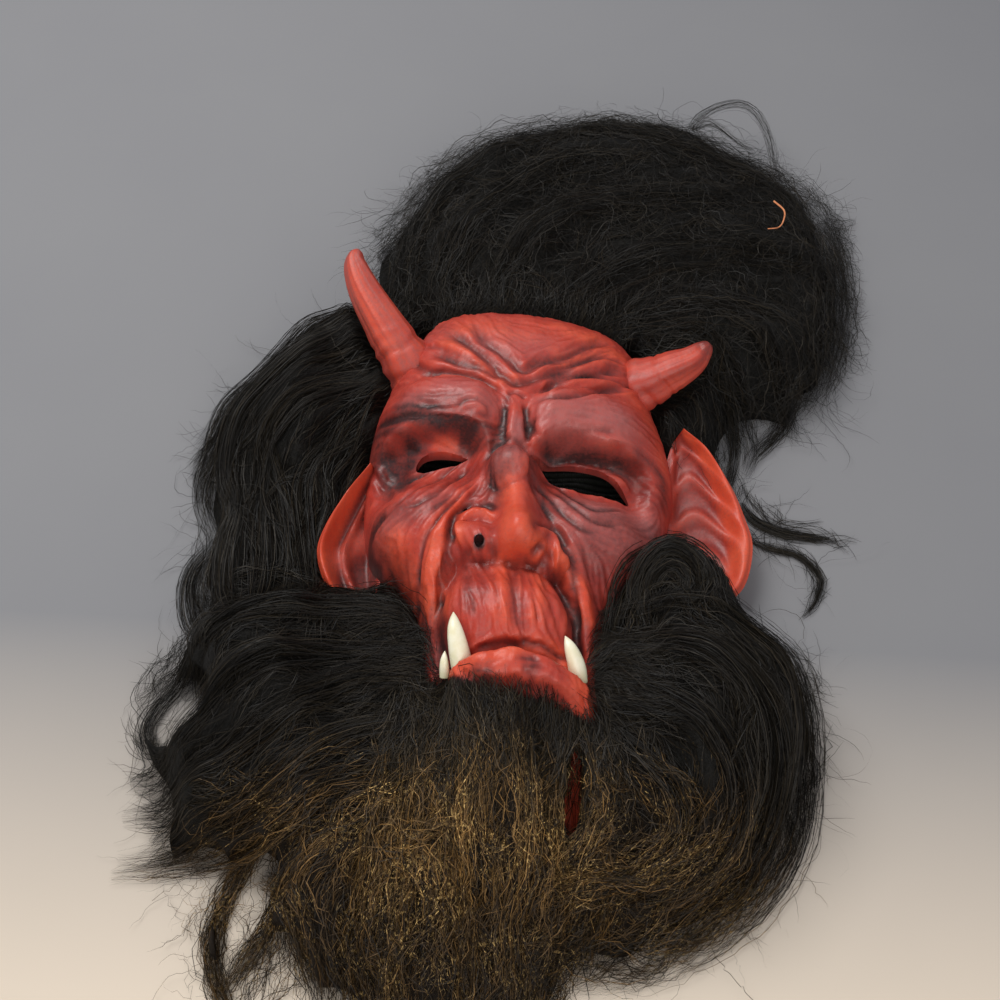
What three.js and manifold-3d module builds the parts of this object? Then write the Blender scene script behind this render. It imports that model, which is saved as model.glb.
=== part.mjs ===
// A horned devil mask of painted latex rubber with long dark hair, lying on its back.
// Millimetres. Y runs towards the crown and Z up out of the face. Left and right are as seen by
// someone who looks down at the face: left is -X and right is +X.
// The origin is on the floor, under the middle of the face, on the underside of the knit hood.
import * as THREE from 'three';
import Module from 'manifold-3d';

const wasm = await Module();
wasm.setup();

// Overall sizes of the latex face
const WALL = 4.2;            // thickness of the latex
const RIM = 3.0;             // height of the cut edge, just over the hood
const NECK_END = -236;       // Y of the open neck
const ROLL_START = 138;      // Y where the forehead starts to roll over to the crown edge
const ROLL_DEPTH = 27;       // how far the roll reaches towards the crown
const CROWN_BULGE = 7;       // how far the crown edge bows out at its middle
const NOSE_HOOK = 4;         // how far the tip of the nose hangs over the upper lip
const TILT = 0.105;          // the face leans: it loses this much height for each mm towards +X
const GAP = 0.3;             // clearance between pieces that touch
const HAIR_CLEARANCE = 2.6;  // clearance between the hair and the latex
const CUT_DEPTH = 6;         // how far below the cut edge a cutting body starts
const COLUMNS = 15;          // columns on each side of the face
const FINE_STEP = 5.4;       // row spacing over the features
const PLAIN_STEP = 9;        // row spacing over the plain parts
const NECK_STEP = 18;        // row spacing over the neck

// Key lines of the face. Each pair is [Y, value].
const CENTRE_X = [[-236, 8], [-140, 9], [-115, 4], [-85, -2], [-40, -3], [10, -6], [40, -3], [90, -2],
  [165, 0]];
const LEFT_WIDTH = [[-236, 64], [-150, 60], [-92, 55], [-65, 62], [-35, 87], [20, 97], [60, 99],
  [100, 91], [138, 76], [165, 66]];
const RIGHT_WIDTH = [[-236, 62], [-150, 57], [-100, 66], [-65, 80], [-30, 100], [20, 112], [60, 109],
  [100, 97], [138, 86], [165, 74]];
const MID_HEIGHT = [[-236, 36], [-200, 40], [-172, 46], [-157, 62], [-147, 72], [-138, 84], [-128, 90],
  [-112, 90], [-95, 98], [-78, 98], [-62, 88], [-40, 85], [0, 84], [25, 88], [50, 93], [90, 92],
  [120, 84], [145, 72], [165, 60]];
const SIDE_HEIGHT = [[-236, 36], [-172, 46], [-140, 62], [-105, 78], [-70, 82], [-20, 82], [20, 82],
  [50, 92], [90, 92], [120, 84], [145, 72], [165, 60]];
const NOSE_RISE = [[-56, 0], [-48, 13], [-40, 22], [-28, 21], [-16, 17], [-6, 14], [3, 14], [11, 17],
  [20, 11], [31, 3], [42, 0]];
const NOSE_HALF = [[-50, 12], [-30, 12], [0, 10.5], [11, 15], [42, 9]];
const MUZZLE_HALF = [[-130, 42], [-112, 40], [-85, 39], [-58, 30], [-40, 26]];

// Eye openings as they are cut, in X and Y
const LEFT_EYE = [[-31, 27], [-48, 30], [-60, 29], [-64.5, 24], [-62, 19], [-48, 21]];
const RIGHT_EYE = [[10, 24], [26, 28.5], [42, 30.5], [58, 30], [69, 25], [75, 15], [58, 12], [44, 12],
  [27, 15]];

// Colours
const LATEX_RED = 0xb83a2c;
const TOOTH_CREAM = 0xe9dfb8;
const HAIR_BLACK = 0x15120f;
const KNIT_BLACK = 0x22251f;

const clamp = (value, low, high) => Math.min(high, Math.max(low, value));
const mix = (a, b, t) => a + (b - a) * t;
const bell = (distance, size) => Math.exp(-0.5 * (distance / size) ** 2);

function ease(low, high, value) {
  const t = clamp((value - low) / (high - low), 0, 1);
  return t * t * (3 - 2 * t);
}

// A smooth curve through [t, value] pairs.
function follow(pairs, t) {
  const last = pairs.length - 1;
  if (t <= pairs[0][0]) return pairs[0][1];
  if (t >= pairs[last][0]) return pairs[last][1];
  let i = 0;
  while (t > pairs[i + 1][0]) i += 1;
  const slope = (k) => {
    const a = pairs[Math.max(k - 1, 0)];
    const b = pairs[Math.min(k + 1, last)];
    return (b[1] - a[1]) / (b[0] - a[0]);
  };
  const span = pairs[i + 1][0] - pairs[i][0];
  const s = (t - pairs[i][0]) / span;
  const rise = pairs[i + 1][1] - pairs[i][1];
  const start = slope(i) * span;
  const end = slope(i + 1) * span;
  return pairs[i][1] + start * s + (3 * rise - 2 * start - end) * s ** 2 + (start + end - 2 * rise) * s ** 3;
}

// An upright oval bump with a flat top and soft edges.
function pad(x, y, centreX, centreY, halfX, halfY) {
  const r = Math.hypot((x - centreX) / halfX, (y - centreY) / halfY);
  return 1 - ease(0.45, 1.25, r);
}

// A dome over an oval, steeper on its lower side.
function dome(x, y, [centreX, centreY, halfX, halfY, high]) {
  const reachY = y < centreY ? 0.72 * halfY : halfY;
  const r2 = ((x - centreX) / halfX) ** 2 + ((y - centreY) / reachY) ** 2;
  return high * Math.max(1 - r2, 0) ** 1.15;
}

// Nose: a ridge from the brow, a round tip and a flared wing on each side, grown together.
// A lump is [centre X, centre Y, half width, half length, height].
const NOSE_TIP = [8, -42, 22, 21, 24];
const LEFT_WING = [-17, -44, 19, 17, 17];
const RIGHT_WING = [25, -48, 15, 17, 16];
const BRIDGE_SHIFT = 8;      // the bridge of the nose lies this far to the right of the middle

function noseRise(x, y) {
  const half = follow(NOSE_HALF, y);
  const ridge = Math.max(follow(NOSE_RISE, y), 0) * Math.exp(-1 * (Math.abs(x - BRIDGE_SHIFT) / half) ** 2.6);
  const lumps = [NOSE_TIP, LEFT_WING, RIGHT_WING].map((lump) => dome(x, y, lump));
  const grown = [ridge, ...lumps].reduce((sum, height) => sum + height ** 2.4, 0) ** (1 / 2.4);
  return grown - 4 * bell(y - 25, 3) * bell(x - BRIDGE_SHIFT, 10);
}

// Long upper lip: a barrel with upright ribs between two deep folds.
function muzzleShape(x, y, height) {
  const half = follow(MUZZLE_HALF, y);
  const reach = ease(-30, -60, y) * ease(-144, -124, y);
  const a = Math.abs(x);
  const barrel = -8 * Math.min(a / half, 1) ** 3;
  const ribs = 1.1 * Math.cos(x * 0.3 + 0.6) * ease(half - 2, half - 12, a);
  const groove = -10 * bell(a - half - 2, 3.8);
  const fold = 6 * bell(a - half - 11, 6);
  const beyond = ease(half - 3, half + 5, a);
  const level = mix(height + barrel, follow(SIDE_HEIGHT, y), beyond);
  return mix(height, level + ribs + groove + fold, reach);
}

// Lips: the thick lower lip hangs below a shallow mouth line and droops at both ends.
function lipRise(x, y) {
  const droop = 0.0045 * (x - 2) ** 2 * (x > 0 ? 1.3 : 0.75);
  const top = -117.5 - droop + 2.5 * bell(x, 7);
  const bottom = -139 - 1.2 * droop;
  const along = ease(51, 40, x) * ease(-45, -36, x);
  const lower = 14 * ease(top + 1, top - 5, y) * ease(bottom - 8, bottom + 6, y);
  const line = -6 * bell(y - top - 2, 2.4);
  return (lower + line) * along;
}

// Brow pads, the bump between them, the sunken eye sockets and the cheeks below.
function browAndSockets(x, y) {
  const a = Math.abs(x);
  const edge = 37 + 3 * bell(a - 50, 24) - 12 * bell(a, 15);
  const above = ease(edge - 5, edge + 4, y);
  const padTop = 58 + 24 * (1 - Math.exp(-1 * a / 24));
  const swell = 0.5 + 0.5 * bell(y - 0.5 * (edge + padTop), 11);
  const brow = 12 * swell * above * ease(padTop + 5, padTop - 10, y) * ease(8, 17, a) * ease(100, 66, a);
  const browCrease = -3.5 * bell(y - padTop - 4, 3) * ease(8, 14, a) * ease(96, 76, a);
  const knot = 6 * bell(x, 5) * bell(y - 40, 13);
  const creases = -5 * bell(a - 10, 2.6) * bell(y - 41, 13);
  const socket = -18 * ease(edge + 3, edge - 6, y) * ease(-6, 18, y) * ease(11, 28, a) * ease(98, 78, a);
  const lid = 7 * bell(x + 46, 13) * bell(y - 36, 5);
  const turn = x < 0 ? 74 : 88;
  const outer = -10 * bell(a - turn, 7) * ease(38, 22, y) * ease(-18, 6, y);
  const cheek = 7 * pad(a, y, 64, -24, 30, 24);
  return brow + browCrease + knot + creases + socket + lid + outer + cheek;
}

// Forehead: folds stacked in a V above the nose, steeper on the left than on the right.
function foreheadFolds(centredX, y) {
  const x = centredX - BRIDGE_SHIFT;
  const a = Math.hypot(x, 6);
  const arms = x < 0 ? 34 * (1 - Math.exp(-1 * a / 44)) : 22 * (1 - Math.exp(-1 * a / 30));
  const v = y - arms;
  const inside = ease(52, 60, v) * ease(98, 88, v) * ease(90, 68, a);
  return 2.6 * inside * Math.sin((v - 56) * 0.52);
}

// Height of the front of the face over a point, before the sides drop to the rim.
function frontHeight(worldX, y) {
  const x = worldX - follow(CENTRE_X, y);
  let height = follow(MID_HEIGHT, y);
  height = muzzleShape(x, y, height);
  height += noseRise(x, y) + lipRise(x, y) + browAndSockets(x, y) + foreheadFolds(x, y);
  return height - TILT * worldX;
}

// The front sunk by the wall, or raised by a clearance where the wall is negative.
// It takes the lowest or highest of the points around, so that no fold breaks through.
const AROUND = [3.5, 7.5];

function sunkHeight(x, y, wall) {
  let height = frontHeight(x, y) - wall;
  if (wall === 0) return height;
  const further = wall > 0 ? Math.min : Math.max;
  for (const reach of AROUND) {
    for (let k = 0; k < 8; k += 1) {
      const angle = (k * Math.PI) / 4;
      const around = frontHeight(x + reach * Math.cos(angle), y + reach * Math.sin(angle));
      height = further(height, around - 0.7 * wall);
    }
  }
  return height;
}

function rowStep(y) {
  if (y < -160) return NECK_STEP;
  const plain = (y > -104 && y < -66) || (y > -38 && y < 18) || y > 104;
  return plain ? PLAIN_STEP : FINE_STEP;
}

// Rows of the face from the neck to the crown edge: each has a Y and a share of the full height.
function faceRows(stepScale, wall) {
  const rows = [];
  const neckEnd = wall === 0 ? NECK_END : NECK_END - CUT_DEPTH;
  for (let y = neckEnd; y < ROLL_START - 3; y += stepScale * rowStep(y)) {
    rows.push({ y, share: 1 });
  }
  const rollRows = 5;
  for (let i = 1; i <= rollRows; i += 1) {
    const angle = (i / rollRows) * (Math.PI / 2);
    const y = ROLL_START + (ROLL_DEPTH - wall) * Math.sin(angle) ** 0.8;
    rows.push({ y, share: i === rollRows ? 0 : Math.cos(angle) ** 0.75 });
  }
  return rows;
}

// One ring across the face, from the left rim over the front to the right rim.
function faceRing(row, columns, wall) {
  const ring = [];
  const base = wall === 0 ? RIM : RIM - CUT_DEPTH;
  const { y, share } = row;
  const middle = follow(CENTRE_X, y);
  const bulge = CROWN_BULGE * ease(ROLL_START - 40, ROLL_START + ROLL_DEPTH, y);
  for (let i = -columns; i <= columns; i += 1) {
    const u = Math.abs(i) / columns;
    const t = mix(u, 1 - (1 - u) ** 2, 0.38);
    const width = follow(i < 0 ? LEFT_WIDTH : RIGHT_WIDTH, y) - wall;
    const x = middle + Math.sign(i) * width * t;
    const squareness = mix(0.33, 0.4, ease(-60, 20, y)) - 0.1 * ease(90, 130, y);
    const drop = Math.max(1 - t ** 2.6, 0) ** squareness;
    const front = sunkHeight(x, y, wall);
    const hook = NOSE_HOOK * clamp(noseRise(x - middle, y) / 29, 0, 1) * ease(-34, -50, y);
    ring.push(new THREE.Vector3(x, y + bulge * (1 - t * t) - hook, base + (front - base) * drop * share));
  }
  return ring;
}

// A closed body through a list of rings that all have the same number of points.
function loft(rings) {
  const size = rings[0].length;
  const positions = [];
  for (const ring of rings) {
    for (const point of ring) positions.push(point.x, point.y, point.z);
  }
  const faces = [];
  for (let r = 0; r < rings.length - 1; r += 1) {
    for (let k = 0; k < size; k += 1) {
      const a = r * size + k;
      const b = r * size + ((k + 1) % size);
      faces.push(a, b, a + size, b, b + size, a + size);
    }
  }
  const end = (rings.length - 1) * size;
  for (let k = 1; k < size - 1; k += 1) {
    faces.push(0, k + 1, k);
    faces.push(end, end + k, end + k + 1);
  }
  return toSolid(positions, faces);
}

function toSolid(positions, faces) {
  const build = (list) => new wasm.Manifold(new wasm.Mesh({
    numProp: 3,
    vertProperties: new Float32Array(positions),
    triVerts: new Uint32Array(list),
  }));
  const solid = build(faces);
  if (solid.volume() > 0) return solid;
  const turned = [];
  for (let i = 0; i < faces.length; i += 3) turned.push(faces[i], faces[i + 2], faces[i + 1]);
  return build(turned);
}

function geometryOf(solid) {
  const mesh = solid.getMesh();
  const geometry = new THREE.BufferGeometry();
  const points = new Float32Array(mesh.numVert * 3);
  for (let i = 0; i < mesh.numVert; i += 1) {
    for (let k = 0; k < 3; k += 1) points[3 * i + k] = mesh.vertProperties[mesh.numProp * i + k];
  }
  geometry.setAttribute('position', new THREE.BufferAttribute(points, 3));
  geometry.setIndex(new THREE.BufferAttribute(new Uint32Array(mesh.triVerts), 1));
  return geometry;
}

// Keeps the largest of the bodies that a cut leaves.
function largest(solid) {
  const bodies = solid.decompose();
  bodies.sort((a, b) => b.volume() - a.volume());
  return bodies[0];
}

function faceBlock(stepScale, columns, wall) {
  const rings = faceRows(stepScale, wall).map((row) => faceRing(row, columns, wall));
  return loft(rings);
}

// A straight-sided plug over an outline in X and Y.
function plug(outline, low, high) {
  const curve = new THREE.CatmullRomCurve3(outline.map(([x, y]) => new THREE.Vector3(x, y, 0)), true);
  const points = curve.getPoints(outline.length * 2).slice(0, -1);
  const ringAt = (z) => points.map((p) => new THREE.Vector3(p.x, p.y, z));
  return loft([ringAt(low), ringAt(high)]);
}

// Rings round a path, square to it, with a radius and a section of its own at each station.
function tube(path, stations, sides, section) {
  const curve = new THREE.CatmullRomCurve3(path.map((p) => new THREE.Vector3(...p)));
  const rings = [];
  for (let s = 0; s < stations; s += 1) {
    const t = s / (stations - 1);
    const centre = curve.getPoint(t);
    const tangent = curve.getTangent(t);
    const across = new THREE.Vector3().crossVectors(tangent, new THREE.Vector3(0, 0, 1)).normalize();
    const up = new THREE.Vector3().crossVectors(across, tangent).normalize();
    const ring = [];
    for (let k = 0; k < sides; k += 1) {
      const angle = (k / sides) * Math.PI * 2;
      const radius = section(t, angle);
      const point = centre.clone();
      point.addScaledVector(across, radius * Math.cos(angle));
      point.addScaledVector(up, radius * Math.sin(angle));
      ring.push(point);
    }
    rings.push(ring);
  }
  return loft(rings);
}

// Horns: curved cones with lengthwise flutes and a rolled collar where they leave the forehead.
const LEFT_HORN = [[-66, 98, 46], [-78, 113, 64], [-92, 129, 76], [-109, 152, 88], [-117, 168, 97],
  [-116.5, 178, 102]];
const RIGHT_HORN = [[68, 109, 36], [87, 113, 49], [102, 118, 56], [115, 123, 62], [124, 129, 68],
  [128.5, 131, 74]];
const HORN_RADIUS = [[0, 19], [0.18, 18], [0.3, 15.5], [0.5, 12], [0.7, 8.2], [0.88, 4.6], [1, 1.6]];

function horn(path, grow) {
  const section = (t, angle) => {
    const flutes = 1 + 0.05 * Math.cos(5 * angle + 2 * t);
    const collar = 2.2 * bell(t - 0.24, 0.03);
    return follow(HORN_RADIUS, t) * flutes + collar + grow;
  };
  return tube(path, 12, 10, section);
}

// Ears: shells with a thick rolled rim, a sunken inside and curved ribs across it.
// Each station is [root point, rim point], from the lobe to the tip.
const LEFT_EAR = [
  [[-86, -56, 34], [-106, -63, 35]], [[-84, -44, 31], [-119, -48, 38]], [[-86, -28, 30], [-126, -28, 42]],
  [[-88, -10, 31], [-122, -9, 46]], [[-88, 10, 35], [-111, 13, 50]], [[-88, 28, 41], [-97, 33, 53]],
];
const RIGHT_EAR = [
  [[106, -44, 17], [137, -46, 22]], [[99, -30, 17], [154, -27, 23]], [[97, -6, 19], [160, 1, 26]],
  [[98, 20, 21], [155, 22, 29]], [[100, 46, 25], [146, 43, 34]], [[104, 66, 29], [131, 67, 39]],
  [[107, 76, 32], [114, 80, 42]],
];

function earPoint(stations, s, r, sink, ribs) {
  const rootCurve = new THREE.CatmullRomCurve3(stations.map(([root]) => new THREE.Vector3(...root)));
  const rimCurve = new THREE.CatmullRomCurve3(stations.map(([, rim]) => new THREE.Vector3(...rim)));
  const root = rootCurve.getPoint(s);
  const rim = rimCurve.getPoint(s);
  const point = root.clone().lerp(rim, r);
  const inside = ease(0, 0.25, r) * ease(0.96, 0.72, r) * Math.sin(Math.PI * clamp(s, 0, 1)) ** 0.5;
  const bowl = -1 * sink * inside;
  const rib = 1.6 * inside * Math.cos(2 * Math.PI * ribs * (s + 0.12 * (r - 0.5) ** 2));
  point.z += bowl + rib;
  return point;
}

function ear(stations, sink, ribs, grow) {
  const rings = [];
  const rows = 11;
  for (let i = 0; i <= rows; i += 1) {
    const s = i / rows;
    const front = [];
    const back = [];
    const outset = grow / 30;
    let past = 0;
    if (i === 0) past = -grow;
    if (i === rows) past = grow;
    for (const r of [-outset, 0.2, 0.42, 0.64, 0.82, 0.95]) {
      const point = earPoint(stations, s, r, sink, ribs);
      point.y += past;
      const roll = 3 * bell(r - 0.9, 0.1) + grow;
      front.push(point.clone().setZ(point.z + roll));
      back.unshift(point.clone().setZ(point.z - 5 - roll));
    }
    const edge = earPoint(stations, s, 1 + outset, sink, ribs);
    rings.push([...front, edge.setZ(edge.z - 2), ...back]);
  }
  return loft(rings);
}

// Tusks and the small tooth: curved cones that stand behind the lower lip.
const TEETH = {
  tusk_left: { path: [[-24, -128, 84], [-27, -118, 92], [-30, -107, 98], [-31.5, -97, 99]], radius: 6.4 },
  tusk_right: { path: [[43.6, -126, 73], [42, -119, 80.5], [38, -111, 87], [34.5, -104, 89]], radius: 5.6 },
  small_tooth: { path: [[-35, -128, 76], [-35.5, -122, 83], [-35.5, -116, 86]], radius: 3 },
};

function tooth(path, radius, longer) {
  const ends = path.map((point) => [...point]);
  ends[0][1] -= longer;
  ends[ends.length - 1][1] += longer;
  return tube(ends, 7, 8, (t) => radius * Math.max(1 - t ** 1.7, 0.09) * (1 - 0.12 * (1 - t)) + 0.5 * longer);
}

// Hair: each mass is laid in rings. A station is [position, from, to, height].
// The rings run across Y for a mass laid along Y, and across X for one laid along X.
const HAIR_SIDES = 11;

function hairMass(stations, laidAlong, lobes, grow) {
  const rings = [];
  const count = Math.round(stations.length * 1.4);
  const column = (k) => stations.map((station) => [station[0], station[k]]);
  const first = stations[0][0] - grow;
  const last = stations[stations.length - 1][0] + grow;
  for (let i = 0; i <= count; i += 1) {
    const along = mix(first, last, i / count);
    const from = follow(column(1), along) - grow;
    const to = follow(column(2), along) + grow;
    const height = follow(column(3), along) + grow;
    const place = (across, z) => (
      laidAlong === 'y' ? new THREE.Vector3(across, along, z) : new THREE.Vector3(along, across, z)
    );
    const ring = [place(from, 0)];
    for (let k = 1; k < HAIR_SIDES - 1; k += 1) {
      const angle = Math.PI * (k / (HAIR_SIDES - 1));
      const lock = 1 + 0.1 * Math.cos(lobes * angle + 5 * (i / count));
      const across = mix(from, to, 0.5 - 0.5 * Math.cos(angle));
      ring.push(place(across, height * lock * Math.sin(angle) ** 0.75));
    }
    ring.push(place(to, 0));
    if (grow > 0) ring.push(place(to, -CUT_DEPTH), place(from, -CUT_DEPTH));
    rings.push(ring);
  }
  return loft(rings);
}

const HAIR = {
  hair_crown: { laidAlong: 'x', lobes: 9, stations: [
    [-119, 214, 262, 18], [-100, 184, 318, 46], [-50, 164, 372, 66], [0, 164, 394, 72],
    [60, 164, 406, 74], [105, 140, 412, 72], [145, 118, 392, 66], [185, 108, 372, 56],
    [220, 136, 350, 44], [250, 200, 320, 18]] },
  hair_side_left: { laidAlong: 'y', lobes: 6, stations: [
    [-62, -202, -122, 30], [-28, -219, -112, 38], [12, -212, -98, 40], [45, -224, -92, 50],
    [90, -226, -84, 58], [130, -202, -80, 56], [165, -176, -88, 44], [195, -146, -98, 20]] },
  hair_side_right: { laidAlong: 'y', lobes: 4, stations: [
    [30, 118, 152, 8], [55, 108, 158, 18], [85, 96, 152, 30], [112, 88, 160, 36], [135, 84, 150, 30]] },
  hair_beard_left: { laidAlong: 'y', lobes: 6, stations: [
    [-305, -158, -86, 12], [-270, -182, -50, 30], [-235, -196, -44, 44], [-200, -212, -42, 56],
    [-160, -228, -42, 68], [-120, -234, -40, 76], [-85, -220, -44, 70], [-64, -196, -52, 58],
    [-53, -176, -68, 40]] },
  hair_beard_middle: { laidAlong: 'y', lobes: 5, stations: [
    [-326, -60, 24, 12], [-290, -78, 46, 28], [-250, -70, 58, 46], [-215, -66, 54, 66], [-185, -64, 47, 80],
    [-160, -62, 47, 86], [-148, -54, 46, 82]] },
  hair_beard_right: { laidAlong: 'y', lobes: 6, stations: [
    [-276, 30, 84, 14], [-250, 32, 124, 36], [-222, 36, 154, 54], [-190, 38, 180, 70], [-150, 40, 198, 80],
    [-105, 42, 204, 82], [-66, 56, 190, 76], [-48, 66, 150, 82], [-34, 78, 128, 80], [-22, 90, 116, 66],
    [-14, 97, 109, 38]] },
};

// Wisps that run out on the floor from under the right ear, as points in X and Y.
const WISPS = [
  [[146, 64], [166, 50], [178, 38], [204, 28], [232, 18]],
  [[146, 40], [164, 16], [190, 12], [207, -4], [199, -38]],
];

function wisp(path) {
  const radius = (t) => 4.6 * (1 - 0.35 * t);
  const lifted = path.map(([x, y], i) => [x, y, 0.88 * radius(i / (path.length - 1))]);
  return tube(lifted, 7, 6, radius);
}

// The hood: a flat sheet of knit that closes the back of the mask.
const HOOD_THICKNESS = 2.7;

function hoodSheet() {
  const left = [];
  const right = [];
  for (let y = -120; y <= ROLL_START + 12; y += 15) {
    left.push([follow(CENTRE_X, y) - follow(LEFT_WIDTH, y) + 1, y]);
    right.unshift([follow(CENTRE_X, y) + follow(RIGHT_WIDTH, y) - 1, y]);
  }
  const outline = [...left, ...right];
  const ringAt = (z) => outline.map(([x, y]) => new THREE.Vector3(x, y, z));
  return loft([ringAt(0), ringAt(HOOD_THICKNESS)]);
}

function paint(color, roughness) {
  return new THREE.MeshStandardMaterial({ color, roughness, metalness: 0 });
}

const group = new THREE.Group();

function addNode(name, solid, color, roughness) {
  const mesh = new THREE.Mesh(geometryOf(solid), paint(color, roughness));
  mesh.name = name;
  group.add(mesh);
}

// Each mass is cut back from the latex and the hair laid before it. The wisps belong to the
// small mass above the right ear.
function addHair() {
  let taken = swollen;
  for (const [name, { stations, laidAlong, lobes }] of Object.entries(HAIR)) {
    let mass = hairMass(stations, laidAlong, lobes, 0);
    if (name === 'hair_side_right') {
      for (const path of WISPS) mass = mass.add(wisp(path));
    }
    addNode(name, largest(mass.subtract(taken)), HAIR_BLACK, 0.7);
    taken = taken.add(hairMass(stations, laidAlong, lobes, GAP));
  }
}

// The latex cast: face, horns and ears in one, hollow behind, with the eyes cut through.
const leftHorn = horn(LEFT_HORN, 0);
const rightHorn = horn(RIGHT_HORN, 0);
const leftEar = ear(LEFT_EAR, 11, 2.5, 0);
const rightEar = ear(RIGHT_EAR, 9, 6, 0);
const swollen = faceBlock(1.8, 10, -HAIR_CLEARANCE)
  .add(horn(LEFT_HORN, HAIR_CLEARANCE)).add(horn(RIGHT_HORN, HAIR_CLEARANCE))
  .add(ear(LEFT_EAR, 11, 2.5, HAIR_CLEARANCE)).add(ear(RIGHT_EAR, 9, 6, HAIR_CLEARANCE));

let cast = faceBlock(1, COLUMNS, 0).add(leftHorn).add(rightHorn).add(leftEar).add(rightEar);
cast = cast.subtract(faceBlock(2.3, 8, WALL));
cast = cast.subtract(plug(LEFT_EYE, RIM + 1, 130)).subtract(plug(RIGHT_EYE, RIM + 1, 130));
for (const { path, radius } of Object.values(TEETH)) cast = cast.subtract(tooth(path, radius + GAP, GAP));
addNode('latex_face', largest(cast), LATEX_RED, 0.45);
for (const [name, { path, radius }] of Object.entries(TEETH)) {
  addNode(name, tooth(path, radius, 0), TOOTH_CREAM, 0.35);
}
addNode('knit_hood', hoodSheet(), KNIT_BLACK, 0.95);
addHair();

export default group;
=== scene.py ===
"""A horned devil mask of painted latex with long dark hair, lying on its back on a pale floor."""
import math
from typing import NamedTuple

import bmesh
import bpy
import numpy as np
from mathutils import Matrix, Vector
from mathutils.bvhtree import BVHTree
from mathutils.kdtree import KDTree


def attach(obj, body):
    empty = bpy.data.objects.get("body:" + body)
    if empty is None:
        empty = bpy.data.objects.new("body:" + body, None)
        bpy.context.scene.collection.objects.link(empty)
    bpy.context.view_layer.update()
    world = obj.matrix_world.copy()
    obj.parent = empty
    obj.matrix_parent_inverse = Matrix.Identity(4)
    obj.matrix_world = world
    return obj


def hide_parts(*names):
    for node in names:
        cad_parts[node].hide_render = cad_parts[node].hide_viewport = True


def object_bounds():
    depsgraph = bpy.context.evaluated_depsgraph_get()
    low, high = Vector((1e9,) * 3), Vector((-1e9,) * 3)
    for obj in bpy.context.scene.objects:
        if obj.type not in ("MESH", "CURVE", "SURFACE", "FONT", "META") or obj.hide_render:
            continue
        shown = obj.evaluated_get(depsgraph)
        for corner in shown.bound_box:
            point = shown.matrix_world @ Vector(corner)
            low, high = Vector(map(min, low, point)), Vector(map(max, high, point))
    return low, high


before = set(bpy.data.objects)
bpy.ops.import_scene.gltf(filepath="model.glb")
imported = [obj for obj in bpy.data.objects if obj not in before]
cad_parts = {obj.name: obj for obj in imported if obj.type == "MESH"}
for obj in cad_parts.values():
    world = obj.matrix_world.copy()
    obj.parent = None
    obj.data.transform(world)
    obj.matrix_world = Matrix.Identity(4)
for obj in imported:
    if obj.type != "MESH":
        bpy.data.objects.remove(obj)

CAD_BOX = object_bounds()
MM = 0.001
CAD_LOW = np.array(CAD_BOX[0]) / MM
CAD_HIGH = np.array(CAD_BOX[1]) / MM
# About a full turn, for random angles
TURN = 6.28

# Overall sizes of the latex face, in millimetres
WALL = 4.2
RIM = 3.0
NECK_END = -236.0
ROLL_START = 138.0
ROLL_DEPTH = 27.0
CROWN_BULGE = 7.0
NOSE_HOOK = 4.0
TILT = 0.105
CUT_DEPTH = 6.0
BRIDGE_SHIFT = 8.0

# How finely the face and the hollow behind it are built: step in Y, columns in each half
FACE_STEP, FACE_COLUMNS = 1.16, 112
HOLLOW_STEP, HOLLOW_COLUMNS = 3.4, 34
# Tops of what cuts the eyes and the nostril
EYE_CUT_TOP, NOSTRIL_CUT_TOP = 130, 140

# Key lines of the face, as (Y, value)
CENTRE_X = [(-236, 8), (-140, 9), (-115, 4), (-85, -2), (-40, -3), (10, -6), (40, -3), (90, -2), (165, 0)]
LEFT_WIDTH = [(-236, 64), (-150, 60), (-92, 55), (-65, 62), (-35, 87), (20, 97), (60, 99), (100, 91),
              (138, 76), (165, 66)]
RIGHT_WIDTH = [(-236, 62), (-150, 57), (-100, 66), (-65, 80), (-30, 100), (20, 112), (60, 109),
               (100, 97), (138, 86), (165, 74)]
MID_HEIGHT = [(-236, 36), (-200, 40), (-172, 46), (-157, 62), (-147, 72), (-138, 84), (-128, 90),
              (-112, 90), (-95, 98), (-78, 98), (-62, 88), (-40, 85), (0, 84), (25, 88), (50, 93),
              (90, 92), (120, 84), (145, 72), (165, 60)]
SIDE_HEIGHT = [(-236, 36), (-172, 46), (-140, 62), (-105, 78), (-70, 82), (-20, 82), (20, 82), (50, 92),
               (90, 92), (120, 84), (145, 72), (165, 60)]
NOSE_RISE = [(-56, 0), (-48, 13), (-40, 22), (-28, 21), (-16, 17), (-6, 14), (3, 14), (11, 17),
             (20, 11), (31, 3), (42, 0)]
NOSE_HALF = [(-50, 12), (-30, 12), (0, 10.5), (11, 15), (42, 9)]
MUZZLE_HALF = [(-130, 42), (-112, 40), (-85, 39), (-58, 30), (-40, 26)]
NOSE_TIP = (8, -42, 22, 21, 24)
LEFT_WING = (-17, -44, 19, 17, 17)
RIGHT_WING = (25, -48, 15, 17, 16)
LEFT_EYE = [(-31, 27), (-48, 30), (-60, 29), (-64.5, 24), (-62, 19), (-48, 21)]
RIGHT_EYE = [(10, 24), (26, 28.5), (42, 30.5), (58, 30), (69, 25), (75, 15), (58, 12), (44, 12), (27, 15)]


def mix(a, b, t):
    return a + (b - a) * t


def bell(distance, size):
    return np.exp(-0.5 * (distance / size) ** 2)


def ease(low, high, value):
    t = np.clip((value - low) / (high - low), 0, 1)
    return t * t * (3 - 2 * t)


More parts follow.
